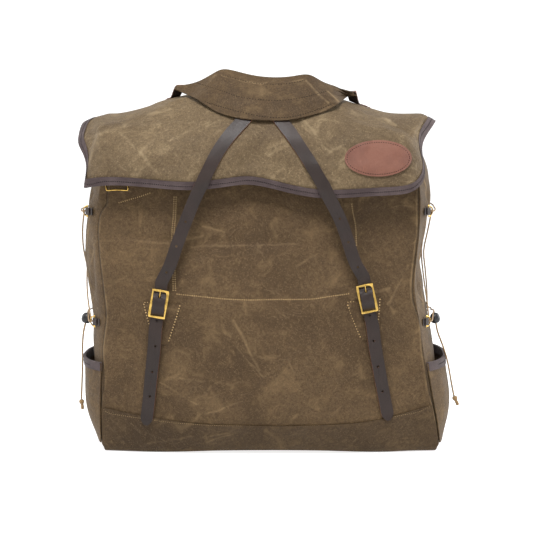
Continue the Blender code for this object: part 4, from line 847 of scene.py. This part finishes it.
def tape_row(node, piece, starts, centre):
    """Places and normals along the middle of a tape's outer face, from the end where starts is lowest."""
    tree = tree_of(piece)
    rings = rings_along(node, starts)
    middles = [middle(ring) for ring in rings]
    row = []
    for n, ring in enumerate(rings):
        along = middles[min(n + 1, len(rings) - 1)] - middles[max(n - 1, 0)]
        wide = max((a - b for a in ring for b in ring), key=lambda gap: gap.length)
        out = along.cross(wide).normalized()
        out *= 1 if out.dot(middles[n] - Vector(centre)) > 0 else -1
        hit = tree.ray_cast(middles[n] + out * TAPE_PROUD, -out)[0]
        if hit is not None:
            row.append(hit)
    return [tree.find_nearest(spot)[:2] for spot in rounded(row, 4)]


tape = tape_finish()
dark_thread = thread_finish("dark_thread", DARK_THREAD)
for side, way in SIDES.items():
    pocket = cut_to(f"pocket_{side}", f"side_pocket_{side}", plain_canvas, 3)
    cloth_map(pocket)
    pocket_tape = cut_to(f"pocket_tape_{side}", f"pocket_binding_{side}", tape, 2)
    inside = (way * POCKET_OUT, 0.0, POCKET_TOP)
    row = tape_row(f"pocket_binding_{side}", pocket_tape, lambda p: p.y, inside)
    stitched(f"stitches_pocket_{side}", [row], dark_thread, TAPE_STITCH)


# The lid is one sheet of duck, sewn to the back and draped over the load, so that its corners stand
# out like ears. It is bound all round with the dark tape, which is stitched through.
# The lid's duck is coloured lighter and greyer than the bag's: painted light on its top, which faces up,
# and a painted reflection of the bright light above.
LID_CLOTH_PAINTED_LIGHT = ((0.074, 0.0480, 0.0245), (0.130, 0.0900, 0.0480), (0.310, 0.2330, 0.1380))
LID_SHARP = math.radians(75)
LID_MIDDLE = (0.0, 0.0, 0.45)
LID_BACK = 0.1
LID_CREASES = (
    (-0.190, 0.610, -0.112, 0.577, 0.0080, 0.0020),
    (-0.225, 0.560, -0.150, 0.590, 0.0080, 0.0018),
    (-0.262, 0.575, -0.215, 0.500, 0.0080, 0.0022),
    (-0.180, 0.500, -0.120, 0.545, 0.0090, 0.0016),
    (0.040, 0.600, 0.120, 0.510, 0.0090, 0.0018),
    (0.140, 0.605, 0.215, 0.560, 0.0080, 0.0018),
    (0.215, 0.590, 0.245, 0.500, 0.0080, 0.0016),
    (-0.060, 0.500, 0.020, 0.560, 0.0110, 0.0016),
    (0.100, 0.480, 0.150, 0.530, 0.0090, 0.0014),
)
LID_RUBS = (
    (125, 127, 163, 169, 0.0048), (160, 132, 133, 160, 0.0045), (175, 136, 215, 117, 0.0042),
    (101, 130, 92, 161, 0.0054), (91, 135, 105, 130, 0.0048), (105, 130, 129, 121, 0.0048),
    (129, 121, 153, 114, 0.0054), (322, 158, 350, 135, 0.0048), (319, 169, 343, 177, 0.0042),
    (351, 118, 385, 140, 0.0042), (261, 122, 278, 130, 0.0035), (233, 136, 262, 129, 0.0035),
    (112, 150, 130, 166, 0.0038), (236, 160, 250, 150, 0.0032), (305, 112, 322, 132, 0.0038),
    (333, 166, 352, 150, 0.0032), (150, 112, 178, 104, 0.0048), (352, 106, 392, 116, 0.0048),
    (180, 150, 192, 166, 0.0035), (210, 124, 224, 116, 0.0035),
)
# The lid gives towards its heart, by its own soft hollows and folds, and its front by the creases
LID_HEART, LID_REACH = (0.0, 0.0, 0.38), (0.6, 0.5, 1 / 0.9)
LID_FRONT_FROM = (-0.02, 0.03)
LID_HOLLOWS, LID_FOLDS = (0.0060, 12.0, 1.0), (0.0026, 30.0, 5.0)
LAID_REACH = (0.010, 0.040)
LAID_ON_LID = (
    "closure_strap_left", "closure_strap_right", "tumpline_band", "tumpline_tail_left",
    "tumpline_tail_right", "leather_patch",
)
BOUND_REACH = (0.001, 0.030)
TAPED_REACH = 0.0020
TAPED_IN = 0.00055


def lid_give(spots):
    """How the lid's cloth gives inwards, away from what lies on it and from its bound edge."""
    inward = (LID_HEART - spots) / LID_REACH
    inward /= np.linalg.norm(inward, axis=1, keepdims=True)
    depth = creased(spots[:, [0, 2]], LID_CREASES) * between(-spots[:, 1], *LID_FRONT_FROM)
    depth += hollowed(spots, *LID_HOLLOWS) + hollowed(spots, *LID_FOLDS)
    away = freedom(spots, LAID_ON_LID, LAID_REACH) * freedom(spots, ["lid_binding"], BOUND_REACH)
    return inward * (depth * away)[:, None]


def thin_under_tape(piece, node):
    """Draws a cloth's two faces together where a tape lies over them."""
    tree = tree_of(nodes[node])
    spots, normals = spots_of(piece.data), np.empty(len(piece.data.vertices) * 3)
    piece.data.vertices.foreach_get("normal", normals)
    taped = np.array([tree.find_nearest(Vector(spot), TAPED_REACH)[0] is not None for spot in spots])
    moved_to(piece, spots - normals.reshape(-1, 3) * TAPED_IN * taped[:, None])


lid = cut_to("lid_cloth", "lid", plain_canvas, 3, LID_SHARP)
thin_under_tape(lid, "lid_binding")
pressed(lid, lid_give)
cloth_map(lid)
# The lid's finish carries that painted light and painted reflection.
lid_canvas_painted_light = canvas_finish("lid_canvas_painted_light", *LID_CLOTH_PAINTED_LIGHT, creases=rubs_on(lid, LID_RUBS), worn_lines=0.27)
lid.data.materials[0] = lid_canvas_painted_light.material
lid_tape = cut_to("lid_tape", "lid_binding", tape, 2)
row = tape_row("lid_binding", lid_tape, lambda p: abs(p.x) + (p.y < LID_BACK), LID_MIDDLE)
lid_stitches = stitched("stitches_lid", [row], dark_thread, TAPE_STITCH)


# An oval of thicker red-brown leather is sewn to the lid's right half, close to its edge, with one
# row of dark red stitches just inside its rim.
PATCH_LEATHER = ((0.122, 0.048, 0.032), (0.176, 0.076, 0.051), (0.30, 0.16, 0.10))
PATCH_MIDDLE = (0.1864, 0.5245)
PATCH_ROW = (0.0545, 0.0268)
PATCH_ROW_STEPS = 120
PATCH_THREAD = (0.030, 0.012, 0.009)
PATCH_STITCH, PATCH_PITCH = (0.0026, 0.0016, 0.0010), 0.0042
THICKEST = 0.006
JUST_INSIDE = 0.0002


def mark_cut_edges(piece):
    """Writes 1 on the faces of a piece's cut edge, which look into the leather and not through it."""
    tree = tree_of(piece)
    edge = []
    for face in piece.data.polygons:
        behind = tree.ray_cast(face.center - face.normal * JUST_INSIDE, -face.normal, THICKEST)[0]
        edge.append(float(behind is None))
    written = piece.data.attributes.new("cut_edge", "FLOAT", "FACE")
    written.data.foreach_set("value", edge)


def leather_finish(name, dark, light, edge, shine):
    """Oiled leather: uneven in tone, grained and pored, with fine scratches and a paler cut edge."""
    finish = Finish(name, {"Coat Weight": shine, "Coat Roughness": 0.42, "Specular IOR Level": 0.24})
    place = finish.place()
    tone = finish.grain(place, 14.0, 4.0, 0.6, 0.4)
    grain = finish.grain(place, 340.0, 3.0, 0.6, 0.5)
    settings = {"feature": "DISTANCE_TO_EDGE"}
    pores = finish.node("ShaderNodeTexVoronoi", settings, {"Vector": place, "Scale": 620.0})
    scratch = finish.grain(finish.stretched(place, (0.0016, 0.01, 0.022), 0.25), 1.0, 3.0)
    scratch = finish.step(scratch, 0.64, 0.74)
    cut = finish.written("cut_edge")
    colour = finish.blend(finish.step(tone, 0.32, 0.68), dark, light)
    colour = finish.blend(finish.step(grain, 0.35, 0.70) * 0.30, colour, dark)
    colour = finish.blend(scratch * 0.22, colour, tuple(part * 2.2 for part in light))
    colour = finish.blend(cut, colour, edge)
    rough = finish.step(tone + grain * 0.3, 0.40, 0.80, 0.40, 0.54) + cut * 0.2
    normal = finish.relief(finish.step(pores, 0.0, 0.08), 0.00010)
    normal = finish.relief(grain, 0.00022, normal)
    finish.feed({"Base Color": colour, "Roughness": rough, "Normal": finish.relief(tone, 0.0010, normal)})
    return finish


def leather_piece(name, node, finish, levels=2):
    """A piece of leather cut to a node's shape, with its cut edge marked."""
    piece = cut_to(name, node, finish, levels)
    mark_cut_edges(piece)
    return piece


patch_leather = leather_finish("patch_leather", *PATCH_LEATHER, shine=0.04)
patch = leather_piece("oval_patch", "leather_patch", patch_leather)
patch_tree = tree_of(patch)
oval = []
for n in range(PATCH_ROW_STEPS + 1):
    turn = 2 * math.pi * n / PATCH_ROW_STEPS
    x, z = PATCH_MIDDLE[0] + PATCH_ROW[0] * math.cos(turn), PATCH_MIDDLE[1] + PATCH_ROW[1] * math.sin(turn)
    hit, normal, _, _ = patch_tree.ray_cast(Vector((x, -0.5, z)), Vector((0, 1, 0)))
    if hit is not None:
        oval.append((hit, normal))
patch_thread = thread_finish("patch_thread", PATCH_THREAD)
stitched("stitches_patch", [oval], patch_thread, PATCH_STITCH, PATCH_PITCH)


# Two long straps of dark bridle leather close the lid. Their faces are oiled to a soft sheen, and
# their cut edges show red-brown. Chapes of the same leather hold the buckles.
STRAP_LEATHER = ((0.015, 0.0085, 0.0065), (0.025, 0.0145, 0.0115), (0.18, 0.070, 0.038))
strap_leather = leather_finish("strap_leather", *STRAP_LEATHER, shine=0.14)
for side in SIDES:
    leather_piece(f"strap_{side}", f"closure_strap_{side}", strap_leather)
    leather_piece(f"chape_{side}", f"buckle_chape_{side}", strap_leather)


# The buckles are centre-bar frames of cast brass, polished and a little worn. Each has a prong of
# brass wire, which turns on the middle bar.
METAL_SHARP = math.radians(70)


def brass_finish():
    """Polished brass: dulled in places, with fine polishing marks."""
    finish = Finish("brass", {"Metallic": 1.0})
    place = finish.place()
    tarnish = finish.grain(place, 90.0, 4.0)
    polish = finish.grain(finish.stretched(place, (0.0006, 0.003, 0.006), 0.6), 1.0, 2.0)
    colour = finish.blend(finish.step(tarnish, 0.40, 0.75), (0.64, 0.42, 0.115), (0.36, 0.225, 0.055))
    rough = finish.step(tarnish, 0.35, 0.75, 0.12, 0.28)
    finish.feed({"Base Color": colour, "Roughness": rough, "Normal": finish.relief(polish, 0.00006)})
    return finish


brass = brass_finish()
for side in SIDES:
    cut_to(f"buckle_{side}", f"buckle_frame_{side}", brass, 2, METAL_SHARP)
    cut_to(f"prong_{side}", f"buckle_prong_{side}", brass, 2, METAL_SHARP)


# Under each buckle a tapered patch of the bag's duck is stitched on with tan thread, along both its
# sides and across its top. The chape is sewn into it.
VEE_STITCH, VEE_PITCH = (0.0028, 0.0030, 0.0012), 0.0050
VEE_STITCHING = {
    "left": (
        ((143.5, 303), (147, 317), (150.7, 329)), ((180.3, 304.5), (174, 325), (168.3, 342)),
        ((143.5, 302.6), (152, 303)),
    ),
    "right": (
        ((347.3, 304), (354, 322), (361.2, 339)), ((380, 298), (379, 313), (377.2, 328)),
        ((346.5, 302.6), (355, 301.6)),
    ),
}
for side, marks in VEE_STITCHING.items():
    vee = cut_to(f"vee_{side}", f"vee_patch_{side}", plain_canvas, 2)
    cloth_map(vee)
    rows = [seam_on([vee, bag], mark, 4) for mark in marks]
    stitched(f"stitches_vee_{side}", rows, tan_thread, VEE_STITCH, VEE_PITCH)


# The tumpline is a wide band of doubled duck, worn over the forehead. It lies on the lid with three
# rows of stitching along it, gathered at both ends into a plain leather tail.
BAND_CLOTH = ((0.042, 0.0240, 0.0105), (0.074, 0.0450, 0.0205), (0.190, 0.1300, 0.0680))
BAND_THREAD = (0.016, 0.010, 0.007)
BAND_STITCH, BAND_PITCH = (0.0028, 0.0018, 0.0011), 0.0048
BAND_STITCHING = (
    ((222, 75), (232, 77.5), (246, 81.5), (260, 83.5), (274, 84.2), (288, 83.5), (299, 81.5), (307, 79.5)),
    (
        (196, 82.5), (203, 85), (218, 89.5), (240, 97), (258, 99.4), (280, 100.4), (299, 98.2),
        (315, 94.4), (328, 90.5),
    ),
    (
        (196, 99), (220, 106.5), (245, 113), (262, 116.3), (277.5, 117.6), (295, 116.2), (315, 110.5),
        (335, 103),
    ),
)
BAND_RUBS = (
    (219, 71, 203, 86, 0.0036), (214, 77, 203, 88, 0.0026), (200, 82, 192, 98, 0.0030),
    (207, 84, 196, 98, 0.0024), (193, 84, 187, 96, 0.0022), (309, 78, 322, 90, 0.0034),
    (322, 90, 333, 99, 0.0028), (330, 86, 342, 97, 0.0024), (176, 92, 200, 101, 0.0030),
    (200, 101, 230, 112, 0.0022), (230, 112, 262, 118.6, 0.0020), (262, 118.6, 292, 118.8, 0.0020),
    (292, 118.8, 352, 98, 0.0026), (224, 71.5, 258, 79, 0.0020), (258, 79, 306, 77.5, 0.0020),
)
band = cut_to("head_band", "tumpline_band", plain_canvas, 3)
cloth_map(band)
band_canvas = canvas_finish("band_canvas", *BAND_CLOTH, creases=rubs_on(band, BAND_RUBS), worn_lines=0.6)
band.data.materials[0] = band_canvas.material
band_thread = thread_finish("band_thread", BAND_THREAD)
rows = [seam_on([band], marks, 4) for marks in BAND_STITCHING]
stitched("stitches_band", rows, band_thread, BAND_STITCH, BAND_PITCH)
for side in SIDES:
    leather_piece(f"band_tail_{side}", f"tumpline_tail_{side}", strap_leather)


# Four brass D-rings on each side hang in short tabs of the dark leather, which are sewn into the
# seams of the side panels. The lacing runs through them.
for depth in ("front", "rear"):
    for height in ("upper", "lower"):
        for side in SIDES:
            spot = f"{depth}_{height}_{side}"
            cut_to(f"ring_{spot}", f"d_ring_{spot}", brass, 1, METAL_SHARP)
            cut_to(f"tab_{spot}", f"ring_tab_{spot}", strap_leather, 1)


# A small loop of brass wire hangs under the lid's left corner. A tab of the dark leather, sewn to
# the front of the bag, holds it.
cut_to("small_loop", "lid_loop", brass, 2, METAL_SHARP)
leather_piece("small_loop_tab", "lid_loop_tab", strap_leather, 1)


# The two shoulder straps are padded duck, stitched along both edges, with plain leather straps
# below. They run from the middle of the back to leather anchors at its foot.
PAD_MIDDLE = (
    (0.066, 0.456), (0.072, 0.428), (0.082, 0.392), (0.095, 0.350), (0.110, 0.305), (0.124, 0.265),
    (0.132, 0.246),
)
PAD_ROW = 0.0235
for side, way in SIDES.items():
    pad = cut_to(f"shoulder_pad_{side}", f"shoulder_strap_{side}", plain_canvas, 3)
    cloth_map(pad)
    pad_tree = tree_of(pad)
    rows = []
    for edge in (-PAD_ROW, PAD_ROW):
        line = rounded([(x + edge, z, 0.0) for x, z in PAD_MIDDLE], 4)
        hits = [pad_tree.ray_cast(Vector((way * p.x, 0.5, p.y)), Vector((0, -1, 0))) for p in line]
        rows.append([hit[:2] for hit in hits if hit[0] is not None])
    stitched(f"stitches_pad_{side}", rows, tan_thread)
    leather_piece(f"shoulder_low_{side}", f"shoulder_lower_{side}", strap_leather)
    leather_piece(f"anchor_{side}", f"shoulder_anchor_{side}", strap_leather, 1)
